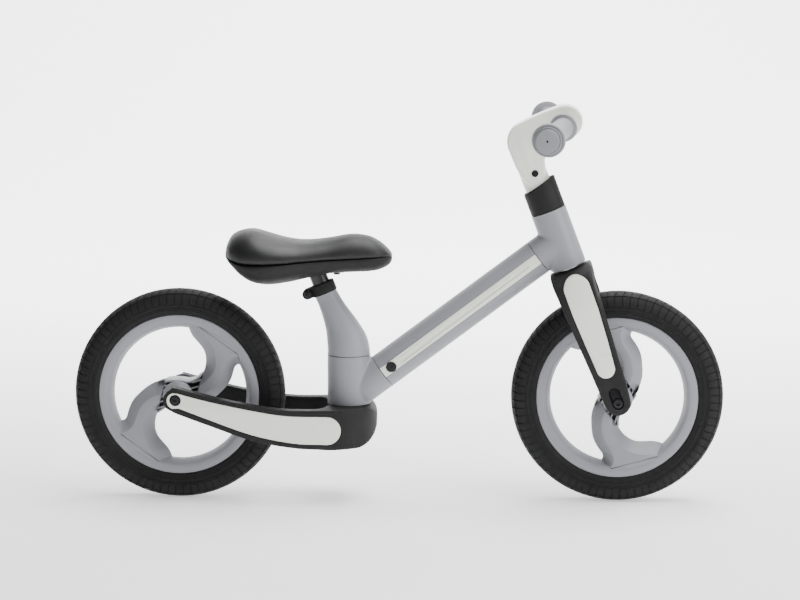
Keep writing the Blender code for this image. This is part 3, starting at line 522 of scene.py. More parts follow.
rearTyre = makeTyre()
frontTyre = copied(rearTyre, "frontTyre", toFront)
finishPiece(rearTyre, "rear_wheel", "tyre_rubber", ["rear_tyre"], 24)
finishPiece(frontTyre, "front_wheel", "tyre_rubber", ["front_tyre"], 24)
print("tyres done", len(rearTyre.data.polygons))

spokeRight = makeSpoke()
spokeLeft = copied(spokeRight, "rearSpokeOpposite", halfTurn)
rearRim = joinPieces([makeRimBand(), spokeRight, spokeLeft] + makeHub())
rearRim.name = "rearRim"
frontRim = copied(rearRim, "frontRim", frontTurn)
finishPiece(rearRim, "rear_wheel", "grey_moulding", ["rear_rim"])
finishPiece(frontRim, "front_wheel", "grey_moulding", ["front_rim"])
rearHubCore = makeHubCore()
frontHubCore = copied(rearHubCore, "frontHubCore", frontTurn)
finishPiece(rearHubCore, "rear_wheel", "black_moulding", look=hubCoreAndHoleShade)
finishPiece(frontHubCore, "front_wheel", "black_moulding", look=hubCoreAndHoleShade)

coverRight = makeHubCover()
coverLeft = copied(coverRight, "rearHubCoverLeft", flip)
for piece, side in ((coverRight, "right"), (coverLeft, "left")):
    front = copied(piece, piece.name.replace("rear", "front"), toFront)
    finishPiece(front, "front_wheel", "grey_moulding", [f"front_hub_cover_{side}"], 50)
    finishPiece(piece, "rear_wheel", "grey_moulding", [f"rear_hub_cover_{side}"], 50)
print("wheels done", len(rearRim.data.polygons))


def box(name, low, high):
    # a block between two corners, used as a cutter
    clearSelection()
    middle = (Vector(low) + Vector(high)) / 2
    bpy.ops.mesh.primitive_cube_add(size=1, location=(0, 0, 0))
    piece = bpy.context.object
    piece.name = name
    for vert in piece.data.vertices:
        vert.co = middle + Vector(a * b for a, b in zip(vert.co, Vector(high) - Vector(low)))
    return piece


def slicedOff(piece, point, outward):
    # everything beyond a plane is cut away and the cut is closed
    editAll(piece)
    bpy.ops.mesh.bisect(plane_co=tuple(point), plane_no=tuple(outward), use_fill=True, clear_outer=True)
    doneEditing()


def rod(name, radius, start, end, steps=48):
    # a plain round bar between two points
    start, end = Vector(start), Vector(end)
    length = (end - start).length / mm
    return turned(name, [(0, 0), (radius, 0), (radius, length), (0, length)], steps, start, end - start)


def boltHead(name, head, place, outward):
    # a round head with a small rounded edge and a six-sided socket, seat at place
    r, h, key = head["radius"], head["height"], head["key"]
    edge = head["edge"]
    profile = [(0, -1.0), (r - 0.2, -1.0), (r, -0.8)]
    profile += [(r - edge + edge * cos(a), h - edge + edge * sin(a))
                for a in [pi / 2 * i / 4 for i in range(5)]]
    piece = turned(name, profile + [(0, h)], 36, place, outward)
    outward = Vector(outward).normalized()
    side = outward.orthogonal().normalized()
    other = outward.cross(side)
    corners = [Vector(place) + outward * ((h - head["socket"]) * mm)
               + (side * cos(a) + other * sin(a)) * (key * mm) for a in [pi / 3 * i for i in range(6)]]
    cut(piece, prism("socketTool", corners, outward * 0.01))
    return piece


def fitBolt(name, head, place, side, body, node, slot="black_steel"):
    finishPiece(boltHead(name, head, place, leftward * side), body, slot, [node], look=blackSteel)


stay = dict(half=65.0, arm=19.0, voxel=1.5, rounds=7, pocket=3.2, seam=0.45, proud=0.4, panelEdge=0.9,
            boltHole=7.9, seatDepth=9.0, noseStart=206.0, noseReach=66.0, gapEnd=187.0, gapRound=0.42)


def armOutline():
    top = smoothLine([(-4, 18.0), (39.5, 6.5), (90, -4.8), (148, -12.8), (200, -13.0)], 5)
    front = [(258, -13)] + arc((257, -27.5), 14.5, 75, 0, 6) + arc((244, -39), 27.5, -15, -80, 8)
    low = smoothLine([(212, -67.5), (160, -65), (104, -55), (48, -35.8), (0, -18.3)], 5)
    end = arc((-1.5, -0.5), 15.2, 245, 95, 10)
    return top + front + low + end[1:-1]


def stayPanelOutline(grow=0.0):
    top = smoothLine([(3, 9.3), (39.5, -0.2), (90, -11), (148, -20.3), (206, -21.3)], 5)
    low = smoothLine([(206, -59.7), (160, -58), (104, -46.8), (48, -27.2), (5, -11)], 5)
    nose = arc((206, -40.5), 19.2, 84, -84, 18)
    heel = arc((-0.3, -0.8), 11.2, 252, 106, 14)
    return offsetOutline(top + nose[1:-1] + low + heel, grow)


def makeStay():
    half = stay["half"]
    body = prism("rearStay", fromAxle(armOutline(), -half), (0, 2 * half * mm, 0))
    nose = [(stay["noseStart"] + stay["noseReach"] * abs(sin(a)) ** 0.75, -half * cos(a))
            for a in [pi * i / 28 for i in range(1, 28)]]
    plan = [(200, -half)] + nose + [(200, half), (-50, half), (-50, -half)]
    cut(body, prism("stayPlan", [rearAxle + Vector((x, y, -90)) * mm for x, y in plan], (0, 0, 0.13)),
        "INTERSECT")
    inner = half - stay["arm"]
    mouth = [(stay["gapEnd"] + x * stay["gapRound"], y) for x, y in arc((0, 0), inner, -90, 90, 24)]
    gap = [(-60, -inner)] + mouth + [(-60, inner)]
    cut(body, prism("stayGap", [rearAxle + Vector((x, y, -100)) * mm for x, y in gap], (0, 0, 0.15)))
    moulded(body, stay["voxel"], stay["rounds"])
    for side in (-1, 1):
        start = side * (half - stay["pocket"])
        cut(body, prism("pocketTool", fromAxle(stayPanelOutline(stay["seam"]), start), (0, side * 0.02, 0)))
        seat = rearAxle + leftward * (side * (half - stay["seatDepth"]) * mm)
        cut(body, rod("boltSeatTool", stay["boltHole"] + 0.3, seat, seat + leftward * (side * 0.02), 40))
    return body


def makeStayPanel(side, name):
    start = side * (stay["half"] - stay["pocket"] + 0.1)
    depth = stay["pocket"] - 0.1 + stay["proud"]
    panel = prism(name, fromAxle(stayPanelOutline(), start), (0, side * depth * mm, 0))
    ends = [rearAxle - leftward * 0.09, rearAxle + leftward * 0.09]
    cut(panel, rod("panelHoleTool", stay["boltHole"], *ends, 40))
    softenEdges(panel, stay["panelEdge"], 3, 50)
    return panel


rearStay = makeStay()
finishPiece(rearStay, "frame", "black_moulding", ["rear_stay_casting"])
for side, name in bothSides:
    finishPiece(makeStayPanel(side, "stayPanel" + name), "frame", "white_moulding",
                [f"stay_panel_{name.lower()}"])
print("rear stay done", len(rearStay.data.polygons))


socket = dict(radius=29.3, branch=24.5, voxel=1.25, rounds=14, foot=132.5, seam=200.0, chamfer=0.5)
tubeStart = Vector((-20.0, 0, 177.5)) * mm
tubeAlong = Vector((cos(radians(36.9)), 0, sin(radians(36.9))))
tubeUpward = Vector((-tubeAlong.z, 0, tubeAlong.x))
tubeLength = 264.6
tubeEnd = tubeStart + tubeAlong * (tubeLength * mm)
seatTubeX = -67.5


def acrossTube(along, up, y):
    return tubeStart + tubeAlong * (along * mm) + tubeUpward * (up * mm) + leftward * (y * mm)


def makeSocket():
    low, high = Vector((seatTubeX, 0, 120)) * mm, Vector((seatTubeX, 0, 215)) * mm
    piece = rod("seatTubeSocket", socket["radius"], low, high, 96)
    branch = rod("branchTool", socket["branch"], acrossTube(-50, 0, 0), acrossTube(12, 0, 0), 96)
    cut(piece, branch, "UNION")
    moulded(piece, socket["voxel"], socket["rounds"])
    slicedOff(piece, Vector((0, 0, socket["foot"])) * mm, (0, 0, -1))
    slicedOff(piece, Vector((0, 0, socket["seam"] - 0.3)) * mm, (0, 0, 1))
    slicedOff(piece, tubeStart - tubeAlong * 0.0004, tubeAlong)
    softenEdges(piece, socket["chamfer"], 2, 60)
    return piece


seatTube = dict(around=72, stations=[   # centre x, centre z, half length, half width, lean
    (-67.5, 200.3, 29.3, 29.3, 0), (-67.6, 208.0, 28.8, 29.0, 3), (-70.3, 222.0, 27.2, 27.8, 10),
    (-77.5, 241.0, 22.4, 23.5, 17), (-88.0, 262.0, 17.6, 18.8, 21), (-94.8, 276.0, 15.9, 16.2, 22),
    (-100.5, 287.0, 15.5, 15.5, 22)],
    chamfer=0.5, lip=[(15.2, -0.35), (14.6, -0.5), (13.0, -0.5), (12.4, 0.2), (12.4, 55.0)])   # radius, depth


def ovalLoop(centre, along, across, a, b, count):
    return [centre + along * (a * mm * cos(t)) + across * (b * mm * sin(t))
            for t in [2 * pi * i / count for i in range(count)]]


def makeSeatTube():
    loops = []
    for x, z, a, b, lean in smoothLine(seatTube["stations"], 6):
        along = Vector((cos(radians(lean)), 0, sin(radians(lean))))
        loops.append(ovalLoop(Vector((x, 0, z)) * mm, along, leftward, a, b, seatTube["around"]))
    # a small chamfer at the foot, then a rounded lip and the bore at the top
    foot = loops[0]
    middle = sum(foot, Vector()) / len(foot)
    loops[0] = [middle + (p - middle) * (1 - seatTube["chamfer"] / socket["radius"]) for p in foot]
    loops.insert(1, [p + upward * (seatTube["chamfer"] * mm) for p in foot])
    for radius, depth in seatTube["lip"]:
        loops.append(ovalLoop(seatTop - postUp * (depth * mm), postAhead, leftward, radius, radius,
                              seatTube["around"]))
    return skin("seatTubeUpper", loops)


seatTubeSocket = makeSocket()
finishPiece(seatTubeSocket, "frame", "grey_moulding", ["seat_tube_socket"])
seatTubeUpper = makeSeatTube()
finishPiece(seatTubeUpper, "frame", "grey_moulding", ["seat_tube_upper"], 40)
print("seat tube done", len(seatTubeSocket.data.polygons))


tube = dict(radius=24.5, wall=3.0, steps=128, chamfer=0.6, boltPlace=15.0,
            stripHalf=7.6, seam=0.45, stripProud=0.25, stripThick=2.2,
            grooveStart=34.0, grooveEnd=247.0, grooveWide=3.6, grooveNarrow=1.4, grooveDepth=1.5)


def makeMainTube():
    r, c, end = tube["radius"], tube["chamfer"], tubeLength - 0.3
    inner = r - tube["wall"]
    profile = [(inner, 0.3), (r - c, 0.3), (r - 0.2 * c, 0.3 + 0.2 * c), (r, 0.3 + c), (r, end - c),
               (r - 0.2 * c, end - 0.2 * c), (r - c, end), (inner, end)]
    piece = turned("mainTube", profile, tube["steps"], tubeStart, tubeAlong, tubeUpward)
    wide = tube["stripHalf"] + tube["seam"]
    for side in (-1, 1):
        deep = side * (r - 2.6)
        corners = [acrossTube(a, u, deep) for a, u in ((-5, -wide), (270, -wide), (270, wide), (-5, wide))]
        cut(piece, prism("stripBedTool", corners, (0, side * 0.01, 0)))
    return piece


def makeStrip(side, name):
    outer, end = tube["radius"] + tube["stripProud"], tubeLength - 0.6
    inner = outer - tube["stripThick"]
    profile = [(inner, 0.6), (outer - 0.3, 0.6), (outer, 0.9), (outer, end - 0.3), (outer - 0.3, end),
               (inner, end)]
    piece = turned(name, profile, tube["steps"], tubeStart, tubeAlong, tubeUpward)
    half = tube["stripHalf"]
    corners = [acrossTube(a, u, 0) for a, u in ((-5, -half), (270, -half), (270, half), (-5, half))]
    cut(piece, prism("stripShapeTool", corners, (0, side * 0.03, 0)), "INTERSECT")
    w, n = tube["grooveWide"], tube["grooveNarrow"]
    groove = arc((tube["grooveStart"], 0), w, 90, 270, 14) + arc((tube["grooveEnd"], 0), n, -90, 90, 10)
    floor = side * (outer - tube["grooveDepth"])
    cut(piece, prism("stripGrooveTool", [acrossTube(a, u, floor) for a, u in groove], (0, side * 0.01, 0)))
    drill = [acrossTube(tube["boltPlace"], 0, y) for y in (0, side * 40)]
    cut(piece, rod("stripHoleTool", 7.3, *drill, 40))
    softenEdges(piece, 0.35, 2, 40)
    return piece


mainTube = makeMainTube()
finishPiece(mainTube, "frame", "grey_moulding", ["main_tube"])
throughBolt = dict(radius=6.9, height=1.6, key=2.6, socket=1.4, edge=0.6)
for (side, name), node in zip(bothSides, ("main_tube_bolt", "main_tube_sleeve_nut")):
    finishPiece(makeStrip(side, "mainTubeStrip" + name), "frame", "white_moulding",
                [f"main_tube_panel_{name.lower()}"])
    fitBolt("mainTubeBolt" + name, throughBolt, acrossTube(tube["boltPlace"], 0, side * 24.2), side, "frame",
            node)
print("main tube done")


lug = dict(radius=24.5, length=81.2, voxel=1.25, rounds=14, bore=16.5)


def makeHeadLug():
    piece = rod("headLug", lug["radius"], alongHead(0, -15), alongHead(0, 96), 96)
    branch = rod("headBranchTool", lug["radius"], tubeEnd - tubeAlong * 0.012, tubeEnd + tubeAlong * 0.040, 96)
    cut(piece, branch, "UNION")
    moulded(piece, lug["voxel"], lug["rounds"])
    slicedOff(piece, alongHead(0, 0.3), -steerUp)
    slicedOff(piece, alongHead(0, lug["length"] - 0.3), steerUp)
    slicedOff(piece, tubeEnd + tubeAlong * 0.0004, -tubeAlong)
    softenEdges(piece, 0.5, 2, 60)
    cut(piece, rod("headBoreTool", lug["bore"], alongHead(0, -20), alongHead(0, 120), 48))
    return piece


headLug = makeHeadLug()
finishPiece(headLug, "frame", "grey_moulding", ["head_lug"])
print("head lug done", len(headLug.data.polygons))


clamp = dict(outer=17.5, hole=12.3, lugHalf=9.0, lugReach=12.5, split=1.0, boltOut=6.5)
clampTop = seatTop + postUp * 0.0125


def onClamp(ahead, y, up):
    return clampTop + postAhead * (ahead * mm) + leftward * (y * mm) + postUp * (up * mm)


def makeClamp():
    o, h = clamp["outer"], clamp["hole"]
    profile = [(16.1, -15), (o - 0.5, -15), (o, -14.5), (o, -1.6), (o - 0.5, -0.6), (o - 1.4, 0),
               (h + 0.6, 0), (h, -0.6), (h, -12.2), (16.1, -12.2)]
    ring = turned("seatClamp", profile, 72, clampTop, postUp, postAhead)
    reach, tip = o + clamp["lugReach"], 7.0
    end = arc((-reach + tip, -7.5), tip, -90, -270, 12)
    shape = [(-16.4, -14.5), (-reach + tip, -14.5)] + end + [(-16.4, -0.5)]
    lugBlock = prism("clampLugTool", [onClamp(a, -clamp["lugHalf"], u) for a, u in shape],
                     leftward * (2 * clamp["lugHalf"] * mm))
    softenEdges(lugBlock, 1.0, 3, 50)
    cut(ring, lugBlock, "UNION")
    slit = [(-40, -30), (-8, -30), (-8, 20), (-40, 20)]
    cut(ring, prism("clampSlitTool", [onClamp(a, -clamp["split"], u) for a, u in slit],
                    leftward * (2 * clamp["split"] * mm)))
    return ring


seatClamp = makeClamp()
finishPiece(seatClamp, "frame", "black_moulding", ["seat_clamp"])
clampBolt = dict(radius=4.5, height=3.4, key=2.0, socket=2.0, edge=0.5)
clampNut = dict(radius=4.4, height=3.0, key=1.6, socket=1.6, edge=0.5)
for name, head, side, node in (("clampBolt", clampBolt, -1, "clamp_bolt"),
                               ("clampNut", clampNut, 1, "clamp_nut")):
    spot = onClamp(-clamp["outer"] - clamp["boltOut"], side * 9.2, -7.5)
    fitBolt(name, head, spot, side, "frame", node, "bright_steel")

axleBolt = dict(radius=6.6, height=6.2, key=3.0, socket=3.4, edge=0.7)
for side, name in bothSides:
    fitBolt("rearAxleBolt" + name, axleBolt, rearAxle + leftward * (side * 57.2 * mm), side, "frame",
            f"rear_axle_bolt_{name.lower()}")
print("frame done")


fork = dict(half=65.0, arm=19.0, voxel=1.4, rounds=10, pocket=3.2, seam=0.45, proud=0.4, panelEdge=0.9,
            planFront=31.0, planFlat=12.0, planDrop=0.0042, dishRadius=26.5, dishFloor=-2.6,
            axle=-190.7, slotRadius=7.9, slotRise=14.5, slotDepth=9.0)


def forkOutline():
    end = arc((0, fork["axle"] + 1.0), 17.6, -172, -8, 18)
    right = smoothLine([(18.6, -181), (20.4, -160), (22.4, -124), (25.2, -74), (28.5, -35), (30.0, -9)], 4)
    left = smoothLine([(-29.2, -9), (-27.2, -35), (-23.6, -89), (-20.3, -143), (-18.4, -180)], 4)
    crown = [(29.8, -6.0), (28.0, -2.9), (24.5, -1.2), (-25.0, -1.2), (-28.0, -2.8), (-29.2, -6.0)]
    return end + right[1:] + crown + left[:-1]


def forkPanelOutline(grow=0.0):
    top = arc((1.5, -26.0), 18.0, 172, 8, 20)
    low = arc((0.5, -140.5), 12.4, 2, -182, 18)
    return offsetOutline(top + [(19.0, -60), (16.0, -106)] + low + [(-14.4, -96), (-16.2, -58)], grow)


def archLine():
    # the crown from the front: legs that lean in towards a round seat for the head tube
    side = [(-65, -225), (-65, -120), (-65, -58), (-64, -46), (-61.2, -33), (-58, -22),
            (-54.5, -15.5), (-49, -11.4), (-42, -8.8), (-34, -6.8), (-24, -4.6), (-12, -2.6)]
    side = side[:2] + smoothLine(side[2:], 4)
    return side + [(-x, z) for x, z in reversed(side)]


def inFront(outline, ahead):
    # an outline drawn from the front: left and up
    return [alongHead(ahead, z, y) for y, z in outline]


def forkPlan():
    # from above, the front of the crown falls back a little towards its sides
    flat = fork["planFlat"]
    front = []
    for y in range(-70, 75, 5):
        front.append((fork["planFront"] - fork["planDrop"] * max(0, abs(y) - flat) ** 1.9, y))
    return [(-45, -70)] + front + [(-45, 70)]


def bentPlate(name, side, grow, out, inside):
    # the panel's outline cut from a shell that follows the arch
    plate = prism(name, inSteering(forkPanelOutline(grow), side * 30), leftward * (side * 0.05))
    shell = inFront(band(archLine(), out, inside), -45)
    cut(plate, prism("bentShellTool", shell, steerAhead * 0.09), "INTERSECT")
    return plate


def slotOutline(radius):
    top = arc((0, fork["axle"] + fork["slotRise"]), radius, 0, 180, 16)
    return top + arc((0, fork["axle"]), radius, 180, 360, 16)


def makeFork():
    half = fork["half"]
    body = prism("fork", inSteering(forkOutline(), -half - 5), leftward * ((2 * half + 10) * mm))
    cut(body, prism("forkArchTool", inFront(archLine(), -45), steerAhead * 0.09), "INTERSECT")
    cut(body, prism("forkPlanTool", [alongHead(x, -230, y) for x, y in forkPlan()], steerUp * 0.25),
        "INTERSECT")
    inner = half - fork["arm"]
    leg = [(-inner, -240), (-inner, -55)] + arc((-inner + 22, -44), 22, 180, 90, 10)
    opening = leg + [(-x, z) for x, z in reversed(leg)]
    cut(body, prism("forkGapTool", inFront(opening, -55), steerAhead * 0.11))
    moulded(body, fork["voxel"], fork["rounds"])
    for side in (-1, 1):
        cut(body, bentPlate("forkPocketTool", side, fork["seam"], 6, fork["pocket"]))
        slot = inSteering(slotOutline(fork["slotRadius"]), side * (half - fork["slotDepth"]))
        cut(body, prism("forkSlotTool", slot, leftward * (side * 0.02)))
    r, low = fork["dishRadius"], fork["dishFloor"]
    dish = [(0, low), (r, low), (r + 3, 6), (0, 6)]
    cut(body, turned("forkDishTool", dish, 72, headFoot, steerUp, steerAhead))
    return body


def makeForkPanel(side, name):
    panel = bentPlate(name, side, 0.0, fork["proud"], fork["pocket"] - 0.15)
    softenEdges(panel, fork["panelEdge"], 3, 50)
    return panel


def makeDropout(side):
    # the ribbed tab plate in the slot at the foot of a leg
    floor = side * (fork["half"] - fork["slotDepth"])
    outline = inSteering(slotOutline(fork["slotRadius"] - 0.6), floor - side * 0.2)
    plate = prism("frontTab" + ("Right" if side < 0 else "Left"), outline, leftward * (side * 0.0024))
    softenEdges(plate, 0.4, 2, 50)
    ribs = [plate]
    for up in (9.6, 12.6, 15.6, 18.6):
        level = fork["axle"] + up
        corners = [(-4.6, level - 0.7), (4.6, level - 0.7), (4.6, level + 0.7), (-4.6, level + 0.7)]
        rib = prism("tabRib", inSteering(corners, floor + side * 1.8), leftward * (side * 0.0022))
        softenEdges(rib, 0.4, 2, 50)
        ribs.append(rib)
    return joinPieces(ribs)


forkBody = makeFork()
forkBody.name = "forkCasting"
finishPiece(forkBody, "steering", "black_moulding", ["fork"])
for side, name in bothSides:
    finishPiece(makeForkPanel(side, "forkPanel" + name), "steering", "white_moulding",
                [f"fork_panel_{name.lower()}"])
    finishPiece(makeDropout(side), "steering", "black_steel")
    fitBolt("frontAxleBolt" + name, axleBolt, frontAxle + leftward * (side * 57.6 * mm), side, "steering",
            f"front_axle_bolt_{name.lower()}")
print("fork done", len(forkBody.data.polygons))


collar = dict(radius=24.0, foot=81.6, well=99.0, wellRadius=19.4, wellBack=1.4,
              slantMiddle=119.0, slant=14.5, edge=2.0)


def makeCollar():
    r, f = collar["radius"], collar["foot"]
    profile = [(14.4, f), (r - 0.5, f), (r, f + 0.5), (r, 140), (14.4, 140)]
    piece = turned("headCollar", profile, 96, headFoot, steerUp, steerAhead)
    well = [alongHead(-collar["wellBack"], up) for up in (collar["well"], 150)]
    cut(piece, rod("collarWellTool", collar["wellRadius"], *well, 96))
    tilt = radians(collar["slant"])
    slicedOff(piece, alongHead(0, collar["slantMiddle"]), steerUp * cos(tilt) - steerAhead * sin(tilt))
    softenEdges(piece, collar["edge"], 4, 50)
    return piece


stem = dict(radius=18.8, postBack=1.4, foot=99.6, half=17.8, rounding=24, voxel=1.1, rounds=14,
            barAhead=64.0, barUp=186.6, padRadius=17.4, padGroove=0.8, boltUp=136.4, boltAhead=1.0)
barMiddle = alongHead(stem["barAhead"], stem["barUp"])
stemBoltPlace = alongHead(stem["boltAhead"], stem["boltUp"])


def stemOutline():
    corner = arc((6.5, 179.5), 28.2, 184, 108, 14)
    nose = arc((stem["barAhead"], 187.2), 22.9, 86, -80, 24)
    under = smoothLine([(50, 166), (36, 162), (27.5, 157), (21.3, 151.5), (18.6, 145), (14.5, 132),
                        (8, 120), (0, 114), (-9, 119), (-16.5, 134), (-20.3, 150), (-21.4, 168)], 4)
    return corner + [(20, 208.8), (42, 209.9)] + nose + under


def makeStem():
    half = stem["half"]
    body = prism("stem", inSteering(stemOutline(), -half), leftward * (2 * half * mm))
    moulded(body, stem["voxel"], stem["rounding"])
    post = [alongHead(-stem["postBack"], up) for up in (92, 186)]
    cut(body, rod("stemPostTool", stem["radius"], *post, 96), "UNION")
    moulded(body, stem["voxel"], stem["rounds"])
    slicedOff(body, alongHead(0, stem["foot"]), -steerUp)
    r, g = stem["padRadius"], stem["padGroove"]
    groove = [(r, half - 0.5), (r + 2 * g, half - 0.5), (r + 3 * g, half + 3), (r - g, half + 3)]
    for side in (-1, 1):
        cut(body, turned("stemPadTool", groove, 72, barMiddle, leftward * side, steerUp))
        seat = [stemBoltPlace + leftward * (side * reach * mm) for reach in (17.2, 30)]
        cut(body, rod("stemBoltSeatTool", 5.0, *seat, 36))
    return body


headCollar = makeCollar()
finishPiece(headCollar, "steering", "black_moulding", ["head_collar"])
stemBody = makeStem()
stemBody.name = "stemMoulding"
finishPiece(stemBody, "steering", "white_moulding", ["stem"])
stemBolt = dict(radius=4.5, height=1.9, key=2.0, socket=1.2, edge=0.8)
for (side, name), node in zip(bothSides, ("stem_bolt", "stem_nut")):
    fitBolt("stemBolt" + name, stemBolt, stemBoltPlace + leftward * (side * 17.4 * mm), side, "steering", node)
print("stem done", len(stemBody.data.polygons))


bar = dict(radius=11.0, bend=60.0, sweep=11.8, gripStart=80.0, gripLength=113.0, tip=187.0)
sweepTan = tan(radians(bar["sweep"]))


def makeHandlebar():
    loops = []
    stops = [-bar["tip"], -110, -68, -64, -60, -56, -52, 0, 52, 56, 60, 64, 68, 110, bar["tip"]]
    for y in stops:
        past = abs(y) - bar["bend"]
        ease = max(0, min(1, (past + 8) / 16))
        behind = max(0, past) if abs(past) >= 8 else 8 * ease * ease
        turn = radians(bar["sweep"]) * ease * (1 if y > 0 else -1)
        centre = barMiddle + leftward * (y * mm) - steerAhead * (behind * sweepTan * mm)
        side = steerAhead * cos(turn) + leftward * sin(turn)
        loops.append(ovalLoop(centre, side, steerUp, bar["radius"], bar["radius"], 40))
    return skin("handlebarTube", loops)


grip = dict(steps=72, tube=13.9, flange=18.6, outerFlange=22.0)


def gripAxis(side):
    s = radians(bar["sweep"])
    behind = (bar["gripStart"] - bar["bend"]) * sweepTan
    start = barMiddle + leftward * (side * bar["gripStart"] * mm) - steerAhead * (behind * mm)
    return start, steerAhead * -sin(s) + leftward * (side * cos(s))


def makeGrip(side, name):
    start, along = gripAxis(side)
    end, t, f, o = bar["gripLength"], grip["tube"], grip["flange"], grip["outerFlange"]
    profile = [(11.3, 0.0), (f - 0.8, 0.0), (f - 0.2, 0.3), (f, 0.9), (f, 4.6), (f - 0.3, 5.3),
               (f - 1.0, 5.6), (t + 1.0, 5.8), (t + 0.3, 6.1), (t, 7.0),
               (t, end - 13.0), (t + 0.3, end - 11.6), (t + 1.4, end - 10.9), (o - 1.6, end - 10.6),
               (o - 0.5, end - 10.1), (o, end - 9.0), (o, end - 3.4), (o - 0.3, end - 2.6),
               (o - 1.0, end - 2.2), (19.2, end - 2.2), (18.9, end - 3.0), (18.4, end - 3.0),
               (18.2, end - 0.8), (17.8, end - 0.2), (17.2, end), (16.4, end), (16.1, end - 0.3),
               (16.0, end - 1.4), (11.3, end - 1.4)]
    return turned(name, profile, grip["steps"], start, along, steerUp)


def makeGripPlug(side, name):
    start, along = gripAxis(side)
    end = bar["gripLength"]
    profile = [(0, end - 6), (10.6, end - 6), (10.6, end - 1.2), (15.5, end - 1.2),
               (15.5, end + 3.8), (15.3, end + 4.4), (14.7, end + 4.7), (14.1, end + 4.8),
               (1.8, end + 4.8), (1.5, end + 4.5), (1.5, end + 1.2), (0, end + 1.2)]
    return turned(name, profile, grip["steps"], start, along, steerUp)


handlebarTube = makeHandlebar()
finishPiece(handlebarTube, "steering", "bright_steel", ["handlebar_tube"])
for side, name in bothSides:
    finishPiece(makeGrip(side, "grip" + name), "steering", "grip_rubber", [f"grip_{name.lower()}"], 28)
    finishPiece(makeGripPlug(side, "gripPlug" + name), "steering", "grip_rubber",
                [f"grip_plug_{name.lower()}"], 40)
    start, along = gripAxis(side)
    ends = [start + along * ((bar["gripLength"] + past) * mm) for past in (1.1, 3.4)]
    # a near-black rod set deep in the plug's hole: painted shade that darkens the hole
    hole = rod("gripPlugHole" + name, 1.4, *ends, 16)
    finishPiece(hole, "steering", "black_moulding", look=hubCoreAndHoleShade)
print("handlebar done")


# stations from the rear axle: x, top, seam, bottom, half width
saddle = dict(around=26, shellInset=0.4, seamGap=0.25, stations=[
    (64.8, 341.5, 339.3, 336.5, 9), (66.2, 350.0, 338.3, 333.0, 24), (70, 359.3, 335.6, 328.5, 36),
    (76, 366.2, 333.0, 321.5, 46), (88, 371.4, 330.2, 309.0, 57.5), (104, 372.8, 329.3, 299.8, 65),
    (125, 366.8, 329.6, 297.0, 66.5), (150, 360.2, 330.8, 300.0, 60.5), (175, 357.9, 332.6, 305.5, 51.5),
    (205, 361.0, 334.0, 312.0, 44), (235, 366.3, 335.2, 314.2, 39.5), (258, 364.4, 336.2, 315.0, 36),
    (272, 358.4, 336.8, 317.0, 31.5), (282, 351.0, 337.2, 320.5, 25), (288, 344.8, 337.4, 324.6, 18),
    (291.2, 340.6, 337.0, 328.6, 11), (292.0, 338.4, 336.6, 331.8, 5)])


def saddleLoop(x, low, high, half, bulge):
    # one closed section: a curve over the top and a flat run back below it, or the same upside down
    count = saddle["around"]
    loop = []
    for i in range(count + 1):
        a = pi * i / count
        lift = max(0, sin(a)) ** 0.82
        tuck = 1 - bulge * (1 - min(1, lift / 0.35)) ** 2
        loop.append(Vector((x * mm - 0.3, -half * cos(a) * tuck * mm, (low + (high - low) * lift) * mm)))
    floor = [Vector((x * mm - 0.3, half * (1 - 2 * i / 10) * (1 - bulge) * mm, low * mm)) for i in range(1, 10)]
    return loop + floor


def makeCushion():
    loops = [saddleLoop(x, seam + saddle["seamGap"] / 2, top, half, 0.035)
             for x, top, seam, low, half in smoothLine(saddle["stations"], 4)]
    piece = skin("saddleCushion", loops)
    applyModifier(piece, "SUBSURF", levels=1, render_levels=1)
    return piece


def makeShell():
    loops = [saddleLoop(x, seam - saddle["seamGap"] / 2, low, max(3, half - saddle["shellInset"]), 0.01)
             for x, top, seam, low, half in smoothLine(saddle["stations"], 4)]
    piece = skin("saddleShell", loops)
    applyModifier(piece, "SUBSURF", levels=1, render_levels=1)
    recess = box("shellRecessTool", seatTop + Vector((-50.4, -16.4, -20)) * mm,
                 seatTop + Vector((27.4, 16.4, 31.3)) * mm)
    softenEdges(recess, 2.0, 3, 50)
    cut(piece, recess)
    return piece


def makePost():
    profile = [(0, -74), (11.2, -74), (12, -73.2), (12, 40), (0, 40)]
    piece = turned("seatPost", profile, 64, seatTop, postUp, postAhead)
    slicedOff(piece, seatTop + upward * 0.0308, upward)
    plate = box("postPlateTool", seatTop + Vector((-50, -16, 27.5)) * mm, seatTop + Vector((27, 16, 31)) * mm)
    softenEdges(plate, 1.2, 3, 50)
    cut(piece, plate, "UNION")
    return piece


saddleCushion = makeCushion()
finishPiece(saddleCushion, "saddle", "saddle_leather", ["saddle_cushion"], 50)
finishPiece(makeShell(), "saddle", "black_moulding", ["saddle_shell"], 40)
finishPiece(makePost(), "saddle", "painted_steel", ["seat_post"])
print("saddle done", len(saddleCushion.data.polygons))


view = dict(place=(0.175, -3.900, 0.8485), tilt=81.647, turn=2.528, lens=129.85)
bpy.ops.object.camera_add(location=view["place"], rotation=(radians(view["tilt"]), 0, radians(view["turn"])))
camera = bpy.context.object
camera.data.lens = view["lens"]
camera.data.sensor_width = 36
camera.data.clip_end = 50
bpy.context.scene.camera = camera


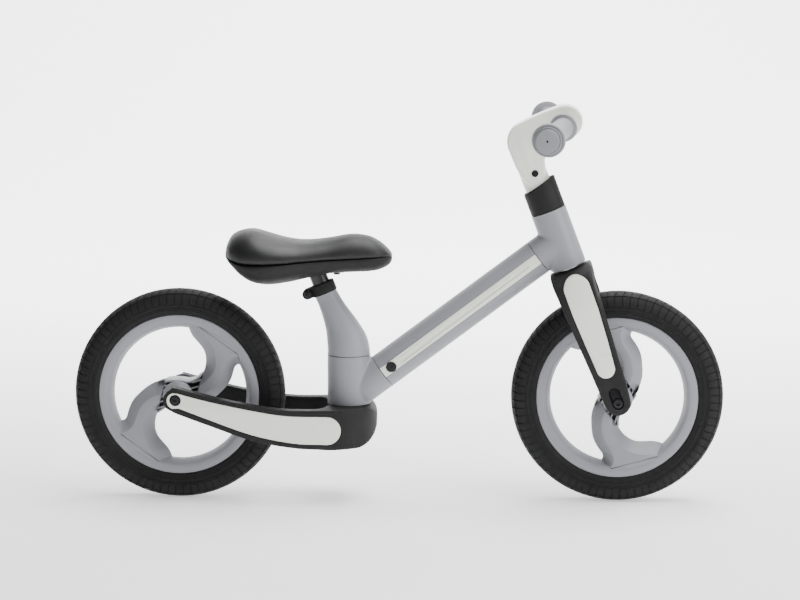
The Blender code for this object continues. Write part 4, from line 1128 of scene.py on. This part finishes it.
def areaLight(name, s):
    bpy.ops.object.light_add(type="AREA", location=s["place"])
    light = bpy.context.object
    light.name = name
    light.data.shape = "RECTANGLE"
    light.data.size, light.data.size_y = s["size"]
    light.data.energy = s["power"]
    light.rotation_euler = (Vector(s["aim"]) - Vector(s["place"])).to_track_quat("-Z", "Y").to_euler()


areaLight("overheadSoftbox", dict(place=(0.6, 0.2, 2.5), aim=(0.05, 0, 0.2), size=(2.6, 1.6), power=125))
areaLight("rightSoftbox", dict(place=(2.6, -1.6, 1.3), aim=(0, 0, 0.25), size=(1.4, 1.6), power=60))
areaLight("frontFill", dict(place=(-0.8, -3.6, 1.7), aim=(0, 0, 0.25), size=(2.6, 1.6), power=12))
areaLight("backdropLight", dict(place=(0, 1.6, 2.8), aim=(0, 5.0, 0.8), size=(5.0, 1.0), power=650))

world = bpy.data.worlds.new("studioAir")
world.use_nodes = True
world.node_tree.nodes["Background"].inputs["Color"].default_value = linear("#f4f5f7")
world.node_tree.nodes["Background"].inputs["Strength"].default_value = 0.15
bpy.context.scene.world = world

# a seamless acrylic sweep: flat under the bike and rising far behind it
sweep = dict(halfWidth=7.0, front=-6.0, bendStart=3.0, bendRadius=2.5, top=6.0, steps=16)
bendStart, bendRadius = sweep["bendStart"], sweep["bendRadius"]
bend = [(bendStart + bendRadius * sin(a), bendRadius * (1 - cos(a)))
        for a in [pi / 2 * i / sweep["steps"] for i in range(sweep["steps"] + 1)]]
line = [(sweep["front"], 0)] + bend + [(bendStart + bendRadius, sweep["top"])]
clearSelection()
bpy.ops.mesh.primitive_grid_add(x_subdivisions=1, y_subdivisions=len(line) - 1, location=(0, 0, 0))
floor = bpy.context.object
floor.name = "paperSweep"
for i, vert in enumerate(floor.data.vertices):
    y, z = line[i // 2]
    vert.co = ((-1, 1)[i % 2] * sweep["halfWidth"], y, z - 0.0002)
pick(floor)
bpy.ops.object.shade_smooth_by_angle(angle=radians(40))
floor.data.materials.append(opalAcrylic)

print("all pieces done")
